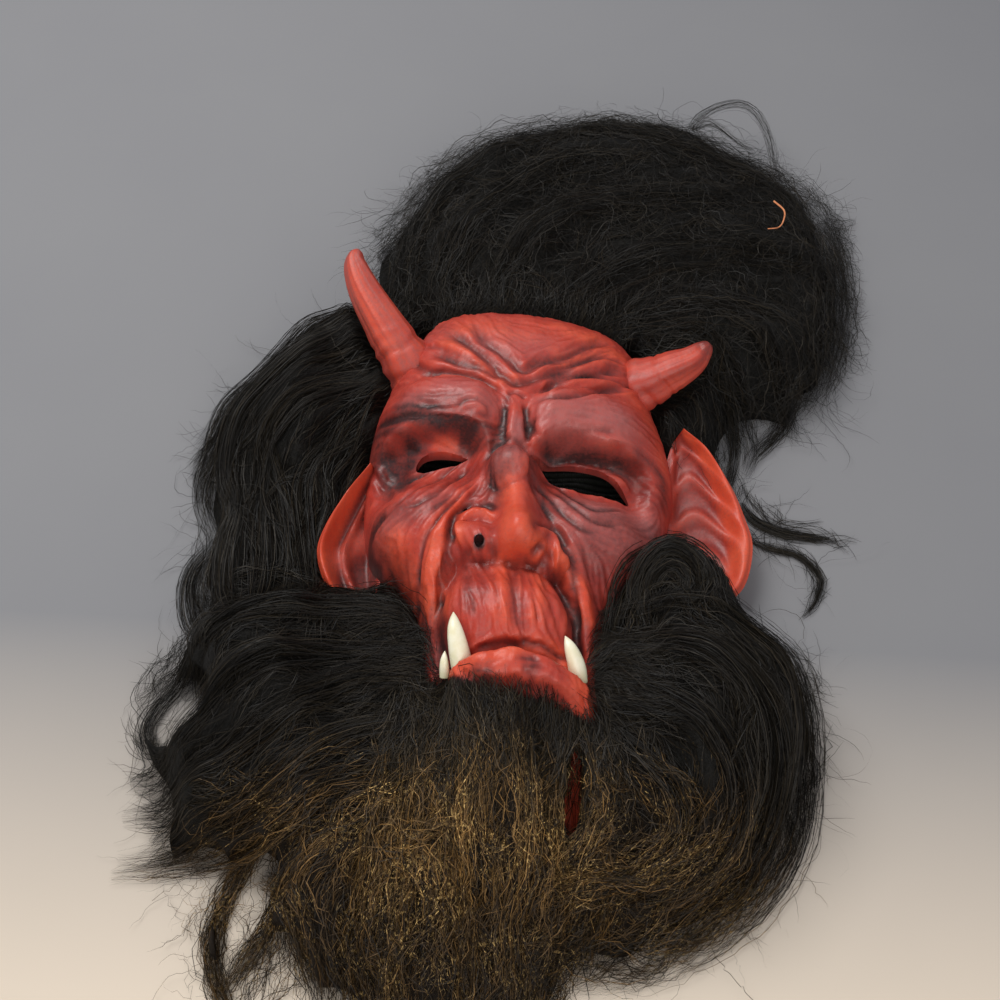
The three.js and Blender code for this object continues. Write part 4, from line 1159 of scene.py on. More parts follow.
# Locks that stand out of the masses: strands, radius, points in X and Y
LOCKS = {
    "hair_crown": [
        (60, 14, [(-67, 166), (-56, 219), (-22, 266), (30, 300), (91, 314)]),
        (60, 14, [(-20, 330), (52, 350), (114, 332), (167, 319), (204, 295), (223, 245)]),
        (30, 5, [(-17, 174), (-26, 197), (-12, 210), (7, 203), (11, 185), (-3, 170)]),
        (60, 10, [(83, 161), (118, 163), (146, 137), (165, 100), (160, 66)]),
        (50, 8, [(126, 186), (168, 161), (194, 127), (199, 102)]),
        (60, 16, [(-88, 170), (-90, 217), (-76, 267), (-42, 306), (6, 336), (67, 362)]),
        (60, 14, [(-31, 164), (-19, 202), (9, 238), (53, 260), (113, 274), (173, 282)]),
        (60, 14, [(40, 159), (82, 180), (125, 182), (182, 176), (216, 160)]),
        (60, 14, [(12, 162), (39, 191), (90, 213), (156, 226), (222, 235)]),
        (30, 7, [(-80, 302), (-100, 284), (-112, 262), (-104, 244), (-92, 250)]),
        (60, 7, [(204, 157), (199, 137), (187, 111), (171, 92), (162, 74)]),
        (100, 11, [(219, 307), (224, 261), (222, 211), (215, 169), (206, 141), (194, 122)]),
        (80, 10, [(239, 325), (245, 277), (242, 226), (234, 185), (221, 151), (206, 127)]),
    ],
    "hair_side_left": [
        (110, 12, [(-98, 191), (-126, 171), (-165, 137), (-198, 99), (-214, 60), (-215, 28), (-202, -2)]),
        (110, 13, [(-95, 154), (-129, 139), (-167, 105), (-190, 70), (-195, 33), (-184, 6)]),
        (80, 11, [(-98, 109), (-131, 94), (-156, 72), (-169, 42), (-167, 11)]),
        (60, 9, [(-118, 66), (-133, 48), (-143, 24), (-139, -7), (-132, -37), (-123, -73)]),
        (60, 10, [(-167, 11), (-161, -31), (-157, -76)]),
        (80, 10, [(-184, 6), (-186, -25), (-183, -54), (-174, -79)]),
        (90, 10, [(-202, -2), (-213, -26), (-212, -49), (-202, -71), (-180, -83), (-155, -83)]),
    ],
    "hair_side_right": [
        (50, 5, [(92, 150), (118, 140), (146, 127), (155, 100), (150, 66), (140, 40)]),
        (90, 4.5, [(158, 50), (164, 38), (174, 31), (187, 26), (203, 24), (222, 22)]),
        (60, 2.8, [(161, 23), (168, 17), (178, 14), (194, 10), (204, 2), (210, -8), (207, -20),
                   (202, -31), (195, -38)]),
    ],
    "hair_beard_left": [
        (90, 11, [(-54, -77), (-85, -75), (-116, -81), (-152, -87), (-181, -99), (-205, -119)]),
        (90, 11, [(-46, -103), (-82, -105), (-124, -114), (-158, -129), (-180, -148), (-200, -168),
                  (-228, -176)]),
        (80, 11, [(-45, -123), (-80, -125), (-109, -140), (-136, -160), (-162, -177), (-192, -191),
                  (-228, -198)]),
        (80, 11, [(-55, -150), (-91, -160), (-111, -176), (-137, -198), (-162, -209), (-190, -218),
                  (-226, -224)]),
        (70, 10, [(-60, -180), (-98, -190), (-120, -210), (-140, -219), (-168, -222), (-200, -228),
                  (-228, -234)]),
        (90, 7, [(-100, -196), (-132, -213), (-153, -232), (-161, -256), (-160, -282), (-148, -308),
                 (-140, -330), (-128, -344)]),
        (90, 7, [(-90, -212), (-103, -225), (-114, -237), (-123, -251), (-131, -263), (-141, -278),
                 (-149, -293), (-156, -303)]),
        (100, 9, [(-138, -230), (-124, -240), (-112, -257), (-103, -277), (-98, -290), (-96, -300)]),
        (60, 6, [(-172, -92), (-196, -100), (-215, -118), (-224, -140), (-214, -160), (-196, -168)]),
        (40, 6, [(-46, -96), (-62, -72), (-88, -62), (-112, -64)]),
        (90, 8, [(-176, -74), (-187, -85), (-191, -97), (-191, -111), (-194, -123)]),
    ],
    "hair_beard_middle": [
        (80, 8, [(-60, -143), (-66, -180), (-72, -221), (-76, -260), (-70, -292), (-62, -320),
                 (-58, -344)]),
        (80, 8, [(-45, -138), (-50, -190), (-52, -242), (-50, -285), (-42, -318), (-40, -344)]),
        (80, 8, [(-29, -138), (-25, -189), (-19, -240), (-13, -282), (-14, -320), (-16, -344)]),
        (80, 8, [(10, -144), (15, -186), (19, -227), (12, -260), (16, -290), (10, -320), (6, -344)]),
        (50, 6, [(34, -152), (31, -191), (34, -225), (40, -247), (30, -280)]),
        (50, 6, [(-14, -177), (-11, -189), (-9, -199), (-10, -211), (-7, -224)]),
    ],
    "hair_beard_right": [
        (110, 12, [(56, -76), (93, -67), (135, -75), (167, -97), (184, -135), (182, -178), (163, -219),
                   (131, -251), (90, -274), (48, -284)]),
        (100, 12, [(53, -96), (92, -94), (128, -109), (153, -139), (159, -179), (143, -217), (112, -244),
                   (74, -262), (37, -275)]),
        (80, 10, [(54, -122), (86, -127), (115, -148), (134, -180), (133, -209), (107, -233), (69, -246)]),
        (60, 9, [(54, -148), (74, -165), (97, -188), (102, -211), (80, -229), (52, -236)]),
        (90, 7, [(60, -104), (64, -78), (70, -52), (84, -32), (102, -24), (120, -31), (128, -52),
                 (126, -76)]),
        (50, 5, [(76, -92), (80, -64), (90, -48), (104, -43), (114, -56), (112, -78)]),
        (40, 5, [(150, -60), (140, -44), (124, -46), (112, -66)]),
        (110, 9, [(84, -80), (79, -62), (84, -45), (98, -37), (112, -43), (118, -58), (110, -70),
                  (98, -66)]),
        (80, 6, [(92, -72), (88, -57), (96, -47), (106, -52), (106, -62), (99, -63)]),
    ],
}
# A loop of hair that stands off the crown: strands, radius, rise, line
ARCH = (44, 5, 36, [(194, 316), (195, 341), (191, 374), (182, 400), (169, 412), (150, 407),
                    (134, 394), (128, 378), (136, 363), (152, 355), (170, 343), (166, 318)])
# Where the neck shows between two masses: its middle line, and the slit in the soft body
GLIMPSE = [(45, -168), (43, -186), (42, -207)]
SLIT = [(43, -165), (46, -163), (48, -169), (49, -184), (47, -202), (42, -213), (38, -204), (38, -184),
        (40, -172)]
# Where the surface below shows through the hair, as outlines in X and Y
GAPS = [
    [(-222, -119), (-211, -112), (-199, -112), (-185, -126), (-187, -141), (-197, -149), (-209, -150),
     (-221, -136)],
    [(-152, -228), (-140, -222), (-131, -232), (-131, -252), (-137, -272), (-147, -282), (-154, -262),
     (-156, -242)],
    [(-260, -236), (-218, -238), (-192, -229), (-174, -221), (-162, -230), (-168, -262), (-166, -284),
     (-150, -304),
     (-134, -345), (-260, -345)],
    [(158, 60), (190, 60), (262, 60), (262, -60), (185, -56), (160, -20), (154, 20)],
    [(-142, -277), (-133, -269), (-113, -270), (-107, -284), (-107, -300), (-148, -302), (-151, -292)],
]
# The grid that holds heights and directions of hair
FIELD_CELL = 2.0
FIELD_LOW = np.array([-262.0, -350.0])
FIELD_SIZE = np.array([266, 396])
# Heights from which a place counts as hair, as latex and as part of a mass
ON_HAIR, ON_LATEX, IN_MASS = 4, 8, 3
# The dark body under the strands
BODY_VOXEL = 4.8
BODY_CLOSE = 6.0
BODY_SHRINK = 2.4
BODY_GROW = 4.0
GAP_MARGIN = 7.0
BODY_SIDE_SHRINK = 8.0
CROWN_SIDE_SHRINK = 24.0
# Bottom and top of what cuts through the dark body
CUT_BOTTOM, CUT_TOP = -20, 130
# One step along a strand
STEP = 6.0
# How far strands may pass the solids' box: at its low X, at its low Y, and at its high sides
PAST_LOW, PAST_HIGH = (12, 22), 12
HAIR_TOP = 113
# Above this Y, a lock isn't drawn across latex that carries no hair
BARE_FACE = -20
# How high the hair stands on the chin
CHIN_HAIR = 2.5
# The middle and the size of the part of the beard that the light catches
LIT_SPOT, LIT_SIZE = (-14, -190), 42
FLOOR_ROOM = 0.4
# Under this line of points the chin carries hair, as (X, Y)
CHIN_LINE = [(-64, -110), (-45, -121), (-31, -131), (-18, -138), (0, -141), (24, -141), (35, -144),
             (46, -146), (58, -147), (70, -148)]


class Style(NamedTuple):
    """How one mass of hair looks. Lengths are in millimetres, counts in strands."""

    surface: int
    loose: int
    length: float
    curl: float
    curl_size: float
    wave: float
    frizz: float
    height: float
    past: float


STYLE = {
    "hair_crown": Style(4300, 3000, 90, 0.72, 28, 0.42, 5.5, 6.0, 2.6),
    "hair_side_left": Style(2300, 420, 150, 0.22, 52, 0.10, 1.6, 6.5, 0.7),
    "hair_side_right": Style(500, 60, 90, 0.4, 40, 0.2, 2.0, 2.0, 0.6),
    "hair_beard_left": Style(3200, 420, 110, 0.34, 36, 0.24, 2.6, 7.0, 0.7),
    "hair_beard_middle": Style(3300, 200, 80, 0.32, 24, 0.34, 3.0, 5.0, 0.7),
    "hair_beard_right": Style(3050, 420, 120, 0.32, 36, 0.22, 2.6, 7.0, 0.7),
}
# Layers of strands on the surface of each mass
LAYERS = 3
# Loose strands that lie matted on the crown
MATTED = 1750
# Where hair grows from the skin: mass, strands, depth, heading in degrees, line in X and Y
ROOTS = [
    ("hair_beard_middle", 2600, 34, -90, CHIN_LINE),
    ("hair_beard_left", 900, 14, 192, [(-64, -74), (-56, -86), (-49, -102), (-47, -122)]),
    ("hair_beard_right", 900, 14, -20, [(58, -84), (58, -104), (58, -124), (60, -146)]),
    ("hair_crown", 1500, 14, 72, [(-66, 150), (-40, 157), (0, 160), (40, 157), (72, 148)]),
    ("hair_beard_left", 220, 14, 240, [(-96, -62), (-108, -60), (-118, -56)]),
    ("hair_beard_right", 220, 10, -70, [(118, -40), (132, -38), (142, -34)]),
]


def hair_body(names):
    """One soft body from the masses of hair, with the gaps between them closed."""
    points, corners, done = [], [], 0
    for name in names:
        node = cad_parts[name]
        points.append(points_of(node))
        corners.append(triangles_of(node) + done)
        done += len(points[-1])
    body = build("hair_mass", np.vstack(points), np.zeros((0, 4), int), np.vstack(corners))
    modify(body, "WELD", merge_threshold=0.05 * MM)
    modify(body, "DISPLACE", strength=BODY_CLOSE * MM, mid_level=0)
    modify(body, "REMESH", mode="VOXEL", voxel_size=BODY_VOXEL * MM)
    modify(body, "SMOOTH", factor=0.5, iterations=4)
    modify(body, "DISPLACE", strength=-BODY_CLOSE * MM, mid_level=0)
    modify(body, "SMOOTH", factor=0.5, iterations=6)
    apply_modifiers(body)
    return body


def top_field(thing):
    """The highest surface of the thing over a grid, in millimetres, and 0 where there is none."""
    points = points_of(thing)
    tree = BVHTree.FromPolygons([Vector(p) for p in points], triangles_of(thing).tolist())
    field = np.zeros(tuple(FIELD_SIZE))
    down = Vector((0, 0, -1))
    low = np.maximum(np.floor((points.min(0)[:2] - FIELD_LOW) / FIELD_CELL).astype(int), 0)
    high = np.minimum(np.ceil((points.max(0)[:2] - FIELD_LOW) / FIELD_CELL).astype(int) + 1, FIELD_SIZE)
    for i in range(low[0], high[0]):
        x = FIELD_LOW[0] + FIELD_CELL * i
        for j in range(low[1], high[1]):
            hit = tree.ray_cast(Vector((x, FIELD_LOW[1] + FIELD_CELL * j, 200)), down)[0]
            if hit is not None:
                field[i, j] = hit.z
    return field


def read_field(field, place):
    u, v = np.moveaxis((place[..., :2] - FIELD_LOW) / FIELD_CELL, -1, 0)
    return between_cells(field, u, v)


def spread(field, cells, pick):
    """The highest (or lowest) value of the cells around."""
    for axis in (0, 1):
        best = field
        for k in range(1, cells + 1):
            best = pick(best, pick(np.roll(field, k, axis), np.roll(field, -k, axis)))
        field = best
    return field


def soften(field, times):
    for _ in range(times):
        for axis in (0, 1):
            field = 0.5 * field + 0.25 * (np.roll(field, 1, axis) + np.roll(field, -1, axis))
    return field


def hills(rng, size):
    """Smooth random hills about this wide, with a spread of one."""
    field = soften(rng.standard_normal(tuple(FIELD_SIZE)), max(int((size / 4 / FIELD_CELL) ** 2 * 2), 1))
    return (field - field.mean()) / field.std()


def grid_places():
    x = FIELD_LOW[0] + FIELD_CELL * np.arange(FIELD_SIZE[0])[:, None] + np.zeros((1, FIELD_SIZE[1]))
    y = FIELD_LOW[1] + FIELD_CELL * np.arange(FIELD_SIZE[1])[None, :] + np.zeros((FIELD_SIZE[0], 1))
    return x, y


def turned(heading, angle):
    cos, sin = np.cos(angle), np.sin(angle)
    return np.stack([heading[..., 0] * cos - heading[..., 1] * sin,
                     heading[..., 0] * sin + heading[..., 1] * cos], -1)


def flow_field(lines):
    """Unit directions over the grid that pass smoothly along the lines."""
    x, y = grid_places()
    total = np.zeros(tuple(FIELD_SIZE) + (2,))
    for points in lines:
        line = smooth_line(points, 4)
        for start, end in zip(line[:-1], line[1:]):
            middle = 0.5 * (start + end)
            away = (x - middle[0]) ** 2 + (y - middle[1]) ** 2 + 60
            heading = end - start
            total += heading[None, None, :] / (away * np.sqrt(away))[..., None]
    return total / np.maximum(np.linalg.norm(total, axis=-1, keepdims=True), 1e-12)


def lock_field(rng, flow, size, steps):
    """Noise drawn out along the flow, from -1 to 1: the crests and valleys of locks."""
    noise_field = hills(rng, size)
    total = noise_field.copy()
    start = np.meshgrid(np.arange(FIELD_SIZE[0]), np.arange(FIELD_SIZE[1]), indexing="ij")
    for sign in (1, -1):
        u, v = (g.astype(float) for g in start)
        for _ in range(steps):
            i = np.clip(u.astype(int), 0, FIELD_SIZE[0] - 1)
            j = np.clip(v.astype(int), 0, FIELD_SIZE[1] - 1)
            u = u + sign * flow[i, j, 0]
            v = v + sign * flow[i, j, 1]
            total += noise_field[np.clip(u.astype(int), 0, FIELD_SIZE[0] - 1),
                                 np.clip(v.astype(int), 0, FIELD_SIZE[1] - 1)]
    total -= soften(total, 60)
    return np.clip(total / (2.0 * total.std()), -1, 1)


def chin_share(x, y):
    """One where the chin carries hair, and 0 on the lip above it and beside the jaw."""
    line = follow(CHIN_LINE, x)
    return ease(line + 0.5, line - 1.5, y) * ease(-63, -57, x) * ease(70, 64, x) * ease(-158, -152, y)


def near_line(points, x, y):
    """The distance from a line in X and Y to every place of the grid."""
    best = np.full(x.shape, 1e9)
    for spot in smooth_line(points, 12):
        best = np.minimum(best, np.hypot(x - spot[0], y - spot[1]))
    return best


def in_outline(outline, x, y):
    """True at the places inside the outline."""
    line = smooth_line(outline, 8, closed=True)
    inside = np.zeros(x.shape, bool)
    for start, end in zip(line, np.roll(line, -1, axis=0)):
        if start[1] != end[1]:
            at = start[0] + (y - start[1]) * (end[0] - start[0]) / (end[1] - start[1])
            inside ^= ((start[1] > y) != (end[1] > y)) & (x < at)
    return inside


def grown(outline, by):
    """The outline moved outward by so many millimetres."""
    line = smooth_line(outline, 2, closed=True)
    ahead, behind = np.roll(line, -1, axis=0), np.roll(line, 1, axis=0)
    area = (line[:, 0] * ahead[:, 1] - ahead[:, 0] * line[:, 1]).sum()
    out = np.stack([(ahead - behind)[:, 1], -(ahead - behind)[:, 0]], -1) * math.copysign(1, area)
    return line + by * out / np.linalg.norm(out, axis=1, keepdims=True)


def shape_body(rng, whole, over, bare, locks):
    """The dark body that the strands lie on: pulled in at the sides and raised in locks."""
    body = hair_body(list(LOCKS))
    points, normals = points_of(body), normals_of(body)
    spots = points[:, :2]
    crown = ease(150, 190, spots[:, 1]) * ease(-118, -100, spots[:, 0])
    ragged = mix(BODY_SIDE_SHRINK, CROWN_SIDE_SHRINK, crown)
    ragged = ragged + (3.0 + 2.0 * crown) * np.clip(read_field(hills(rng, 36), spots), -2, 2)
    near = soften(np.where((whole > IN_MASS) | (over > ON_LATEX), 1.0, 0.0), 160)
    uphill = np.stack([read_field(part, spots) for part in np.gradient(near)], -1)
    uphill /= np.maximum(np.linalg.norm(uphill, axis=1, keepdims=True), 0.004)
    outer = 1 - ease(0.5, 0.97, read_field(near, spots))
    by_latex = read_field(soften(spread(over, 3, np.maximum), 2), spots) > ON_LATEX
    points -= np.where(by_latex, -BODY_GROW, BODY_SHRINK)[:, None] * normals
    points[:, :2] += (ragged * outer)[:, None] * uphill
    place_points(body, points)
    modify(body, "SMOOTH", factor=0.5, iterations=5)
    apply_modifiers(body)
    points = points_of(body)
    upper = ease(0.0, 0.5, normals_of(body)[:, 2])
    top = top_field(body)
    inside = soften(np.where((np.maximum(top, over) > 2) & ~bare, 1.0, 0.0), 90)
    slope = mix(0.3, 1.0, ease(0.42, 0.97, inside))
    closed = spread(spread(top, 8, np.maximum), 8, np.minimum)
    closed = np.where(top > 2, np.maximum(top, mix(top, soften(closed, 8), 0.8)), top)
    raised = read_field(closed - top, points) * upper
    high = (points[:, 2] + raised) * read_field(slope, points) + upper * read_field(locks, points)
    points[:, 2] = np.maximum(high, FLOOR_ROOM)
    place_points(body, points)
    for outline in [grown(gap, GAP_MARGIN) for gap in GAPS] + [SLIT]:
        combine(body, plug("gap", outline, CUT_BOTTOM, CUT_TOP), "DIFFERENCE")
    # The body turns brown low on the beard: painted warm light
    warm_light = warm_light_share(points_of(body))
    colour_points(body, "tone", np.stack([warm_light, 0 * warm_light, 0 * warm_light], -1))
    finish_piece(body, hair_body_material(), "hair", *LOCKS)
    return top_field(body)


def warm_light_share(points, change=0.0):
    """Hair is black near the face; from this line down it is brown, as painted warm light."""
    x, y = points[..., 0], points[..., 1]
    line = -191 - 30 * ease(110, 185, x) - 42 * ease(-130, -200, x) + change
    return ease(line + 22, line - 30, y)


def surface_strands(rng, style, flow, own, ground, over, veil):
    """Strands that follow the mass in layers. Neighbours in a layer curl together."""
    made = []
    count = style.surface // LAYERS
    reach = int(0.5 * style.length / STEP)
    for layer in range(LAYERS):
        fine = 1 if layer else 2
        bent = turned(flow, style.curl * fine**0.6 * hills(rng, style.curl_size / fine))
        crest = lock_field(rng, bent, 9, 16)
        room = np.argwhere(own > IN_MASS)
        chance = np.clip(0.35 + crest[room[:, 0], room[:, 1]], 0.05, None)
        chance = chance * np.where(ground[room[:, 0], room[:, 1]] > ON_HAIR, 1, 0.4)
        picked = room[rng.choice(len(room), count, p=chance / chance.sum())]
        seeds = FIELD_LOW + FIELD_CELL * (picked + rng.uniform(0, 1, (count, 2)))
        bias = style.wave * rng.standard_normal(count)
        start = rng.uniform(0, TURN, count)
        spare = rng.exponential(style.past, count) + 0.3
        halves = []
        for sign in (-1, 1):
            place, left, alive = seeds.copy(), spare.copy(), np.ones(count, bool)
            steps = rng.integers(reach // 2, reach + 1, count)
            points, used = [place.copy()], [alive.copy()]
            for k in range(1, reach + 1):
                heading = np.stack([read_field(bent[..., c], place) for c in (0, 1)], -1)
                heading /= np.maximum(np.linalg.norm(heading, axis=-1, keepdims=True), 1e-9)
                heading = turned(heading, bias + style.wave * np.sin(0.9 * sign * k + start))
                place = place + sign * STEP * heading
                cost = np.where(read_field(ground, place) > ON_HAIR, 0.25, 1.0)
                cost = np.where((cost == 1) & (read_field(over, place) > ON_LATEX), 3.0, cost)
                left = left - np.where(read_field(own, place) > ON_HAIR, 0, cost)
                alive = alive & (left > 0) & (k <= steps)
                points.append(place.copy())
                used.append(alive.copy())
            halves.append((np.array(points), np.array(used)))
        line = np.concatenate([halves[0][0][:0:-1], halves[1][0]]).transpose(1, 0, 2)
        used = np.concatenate([halves[0][1][:0:-1], halves[1][1]]).T
        index = np.arange(line.shape[1])[None, :]
        sway = 0.5 + 0.5 * np.sin(index * rng.uniform(0.4, 1.3, (count, 1)) + rng.uniform(0, 6.3, (count, 1)))
        lift = style.frizz * rng.gamma(1.2, 0.5, (count, 1)) * sway - 1.6 * rng.uniform(0, 1, (count, 1)) ** 2
        high = read_field(crest, line)
        z = np.maximum(resting(line, ground, over), read_field(veil, line) * rng.uniform(0, 1, (count, 1)))
        z = z + lift + 0.5 * style.height * high
        # Strands on the crests of locks are lighter: painted highlight
        made.append((np.dstack([line, z]), used, np.clip(0.7 + 0.75 * high, 0.12, 1.4)))
    return made


def loose_strands(rng, count, curl, room, flow, own, ground, over, veil):
    """Single thin strands in loops, that start in the marked room."""
    step, reach = 3.6, 22
    room = np.argwhere(room)
    seeds = FIELD_LOW + FIELD_CELL * (room[rng.integers(0, len(room), count)] + rng.uniform(0, 1, (count, 2)))
    steps = np.clip(rng.gamma(3.0, 3.2, count), 5, reach).astype(int)
    heading = np.stack([read_field(flow[..., c], seeds) for c in (0, 1)], -1)
    heading = turned(heading, rng.choice([0, math.pi], count) + rng.normal(0, 0.7 + curl, count))
    bend = rng.normal(0, 0.09 + 0.1 * curl, count)
    place, points = seeds.copy(), []
    for _ in range(reach):
        points.append(place.copy())
        bend = 0.86 * bend + rng.normal(0, 0.035 + 0.07 * curl, count)
        heading = turned(heading, bend)
        place = place + step * heading
    line = np.array(points).transpose(1, 0, 2)
    used = (np.arange(reach)[None, :] < steps[:, None])
    on_latex = (read_field(over, line) > ON_LATEX) & (read_field(own, line) < IN_MASS)
    used = used & (np.cumsum(on_latex, axis=1) < 2)
    rise = rng.gamma(1.5, 1.2 + 2.6 * curl, (count, 1)) * np.sin(math.pi * np.linspace(0, 1, reach))[None, :]
    z = np.maximum(resting(line, ground, over), read_field(veil, line) * rng.uniform(0, 1.1, (count, 1)))
    return [(np.dstack([line, z + 0.4 + rise]), used, 0 * z + 0.9)]


def lock_strands(rng, count, radius, points, ground, over, frizz, rise=0):
    """A bundle of strands along a line, thick in the middle and slim at both ends."""
    path = smooth_line(points, 10)
    length = np.concatenate([[0], np.cumsum(np.hypot(*np.diff(path, axis=0).T))])
    size = max(int(length[-1] / STEP), 4)
    at = np.linspace(0, length[-1], size)
    path = np.stack([np.interp(at, length, path[:, k]) for k in (0, 1)], -1)
    t = np.linspace(0, 1, size)
    heading = np.gradient(path, axis=0)
    heading /= np.linalg.norm(heading, axis=1, keepdims=True)
    across = np.stack([-heading[:, 1], heading[:, 0]], -1)
    base = resting(path[None], ground, over)[0]
    for _ in range(2):
        base[1:-1] = np.maximum(base[1:-1], 0.5 * (base[:-2] + base[2:]))
    thick = radius * (0.35 + 0.65 * np.sin(math.pi * np.clip(t, 0.02, 0.98)) ** 0.6)
    far = np.sqrt(rng.uniform(0, 1, (count, 1))) * (1 + 0.5 * (rng.uniform(0, 1, (count, 1)) < 0.12))
    angle = rng.uniform(0, TURN, (count, 1)) + rng.normal(0.6, 0.8, (count, 1)) * t[None, :]
    wave = frizz * rng.gamma(1.5, 0.3, (count, 1))
    wave = wave * np.sin(at[None, :] / rng.uniform(5, 14, (count, 1)) + angle)
    out = far * thick[None, :] * np.cos(angle) + wave
    line = path[None] + out[..., None] * across[None]
    level = np.maximum(resting(line, ground, over), base[None, :] - 3)
    z = level + rise * np.sin(math.pi * t) ** 0.5 + 0.35 * thick[None, :] * (0.8 + far * np.sin(angle))
    first, last = rng.uniform(-0.1, 0.2, (count, 1)), rng.uniform(0.75, 1.1, (count, 1))
    used = (t[None, :] >= first) & (t[None, :] <= last)
    bare_latex = (read_field(over, line) > ON_LATEX) & (read_field(ground, line) < ON_HAIR)
    used = used & ~(bare_latex & (line[..., 1] > BARE_FACE))
    return np.dstack([line, z]), used, 0 * z + 1.0


def root_strands(rng, count, depth, heading, along, ground, over):
    """Strands that grow from the skin along a line and lie over the start of the hair."""
    line = smooth_line(along, 12)
    roots = line[rng.integers(0, len(line), count)] + rng.normal(0, 1.0, (count, 2))
    away = np.array([math.cos(math.radians(heading)), math.sin(math.radians(heading))])
    place = roots + away * depth * rng.uniform(0, 1, (count, 1)) ** 2
    course = turned(np.tile(away, (count, 1)), rng.normal(0, 0.22, count))
    bend = rng.normal(0, 0.07, count)
    step, reach = 4.6, 10
    points = []
    for _ in range(reach):
        points.append(place.copy())
        course = turned(course, bend)
        bend = 0.8 * bend + rng.normal(0, 0.05, count)
        place = place + step * course
    line = np.array(points).transpose(1, 0, 2)
    index = np.arange(reach)[None, :]
    rise = rng.uniform(1.0, 4.5, (count, 1)) * (1 - np.exp(-0.6 * index))
    z = np.maximum(read_field(over, line), read_field(ground, line))
    for _ in range(4):
        z[:, 1:-1] = np.maximum(z[:, 1:-1], 0.5 * (z[:, :-2] + z[:, 2:]))
    z = z - 0.4 + rise
    used = index < rng.integers(6, 11, (count, 1))
    return np.dstack([line, z]), used, 0 * z + 0.8


def resting(line, ground, over):
    """The height that strands lie at: on the hair, or else on the latex or the floor."""
    hair, latex = read_field(ground, line), read_field(over, line)
    return np.where((hair < ON_HAIR) & (latex > ON_LATEX), latex + 0.6, hair)


def ribbons(lines, used, width, roll):
    """Flat strands along lines of points: points and quads."""
    tangent = np.gradient(lines, axis=1)
    tangent /= np.maximum(np.linalg.norm(tangent, axis=-1, keepdims=True), 1e-9)
    across = np.cross(tangent, [0, 0, 1.0])
    across /= np.maximum(np.linalg.norm(across, axis=-1, keepdims=True), 1e-9)
    up = np.cross(across, tangent)
    side = across * np.cos(roll)[..., None] + up * np.sin(roll)[..., None]
    order = np.cumsum(used, axis=1)
    share = (order - 0.5) / np.maximum(order[:, -1:], 1)
    slim = np.clip(4 * np.minimum(share + 0.04, 1.02 - share), 0.15, 1)
    half = (0.5 * width[:, None] * slim)[..., None] * side
    both = np.stack([lines - half, lines + half], axis=2)
    number = -np.ones(used.shape, int)
    number[used] = np.arange(used.sum())
    joined = used[:, :-1] & used[:, 1:]
    a, b = number[:, :-1][joined], number[:, 1:][joined]
    return both[used].reshape(-1, 3), np.stack([2 * a, 2 * a + 1, 2 * b + 1, 2 * b], -1)


def add_strands(rng, name, replaced, look, groups, glimpse, thin, crimp):
    """One mesh of strands, with the tone of every point."""
    points, quads, tones, done = [], [], [], 0
    for lines, used, bright in groups:
        count, size = used.shape
        for axis, past in enumerate(PAST_LOW):
            place = lines[..., axis]
            used = used & (place > CAD_LOW[axis] - past) & (place < CAD_HIGH[axis] + PAST_HIGH)
        lines[..., 2] *= mix(0.1, 1.0, ease(-346, -308, lines[..., 1]))
        lines[..., 2] = np.clip(lines[..., 2], 0.6, HAIR_TOP)
        lines[:, 1:-1, 2] = 0.25 * (lines[:, :-2, 2] + lines[:, 2:, 2]) + 0.5 * lines[:, 1:-1, 2]
        used = used & ~((read_field(glimpse, lines[..., :2]) < 4.0) & (rng.uniform(0, 1, (count, 1)) < 0.8))
        # Strands turn brown low on the beard as painted warm light, and are lighter on lock crests and in the
        # lit spot, with painted glints
        warm_light = warm_light_share(lines, rng.uniform(-26, 26, (count, 1)))
        lines = lines + (crimp + 0.9 * warm_light[..., None]) * rng.standard_normal(lines.shape)
        lines[..., 2] = np.maximum(lines[..., 2], FLOOR_ROOM)
        lit = bell(np.hypot(lines[..., 0] - LIT_SPOT[0], lines[..., 1] - LIT_SPOT[1]), LIT_SIZE)
        low = 1 - 0.4 * ease(-235, -275, lines[..., 1])
        light = rng.beta(0.7, 2.9, (count, 1)) * bright * (1 + 3.0 * lit) * low
        glint = rng.uniform(0, 1, (count, 1)) * (0.5 + 0.9 * lit)
        tone = np.stack([warm_light, np.clip(light, 0, 1), np.clip(glint, 0, 1)], -1)
        roll = rng.uniform(-0.9, 0.9, (count, 1))
        roll = roll + rng.uniform(-0.12, 0.12, (count, 1)) * np.arange(size)[None, :]
        width = rng.uniform(0.2, 0.42, count) * thin * (1 + 0.35 * warm_light.mean(axis=1))
        spots, faces = ribbons(lines, used, width, roll)
        points.append(spots)
        quads.append(faces + done)
        tones.append(np.repeat(tone[used], 2, axis=0))
        done += len(spots)
    strands = build(name, np.vstack(points), np.vstack(quads))
    colour_points(strands, "tone", np.vstack(tones))
    finish_piece(strands, look, "hair", replaced)


def lock_relief(rng, tops, flows):
    """How far locks rise out of the dark body, shared where masses meet."""
    relief, total = 0.0, 1e-6
    for name, flow in flows.items():
        style = STYLE[name]
        near = soften(np.where(spread(tops[name], 4, np.maximum) > IN_MASS, 1.0, 0.0), 10)
        bent = turned(flow, 0.5 * style.curl * hills(rng, style.curl_size))
        relief += near * style.height * (lock_field(rng, bent, 26, 24) + 0.4 * lock_field(rng, bent, 14, 18))
        total += near
    return relief / total


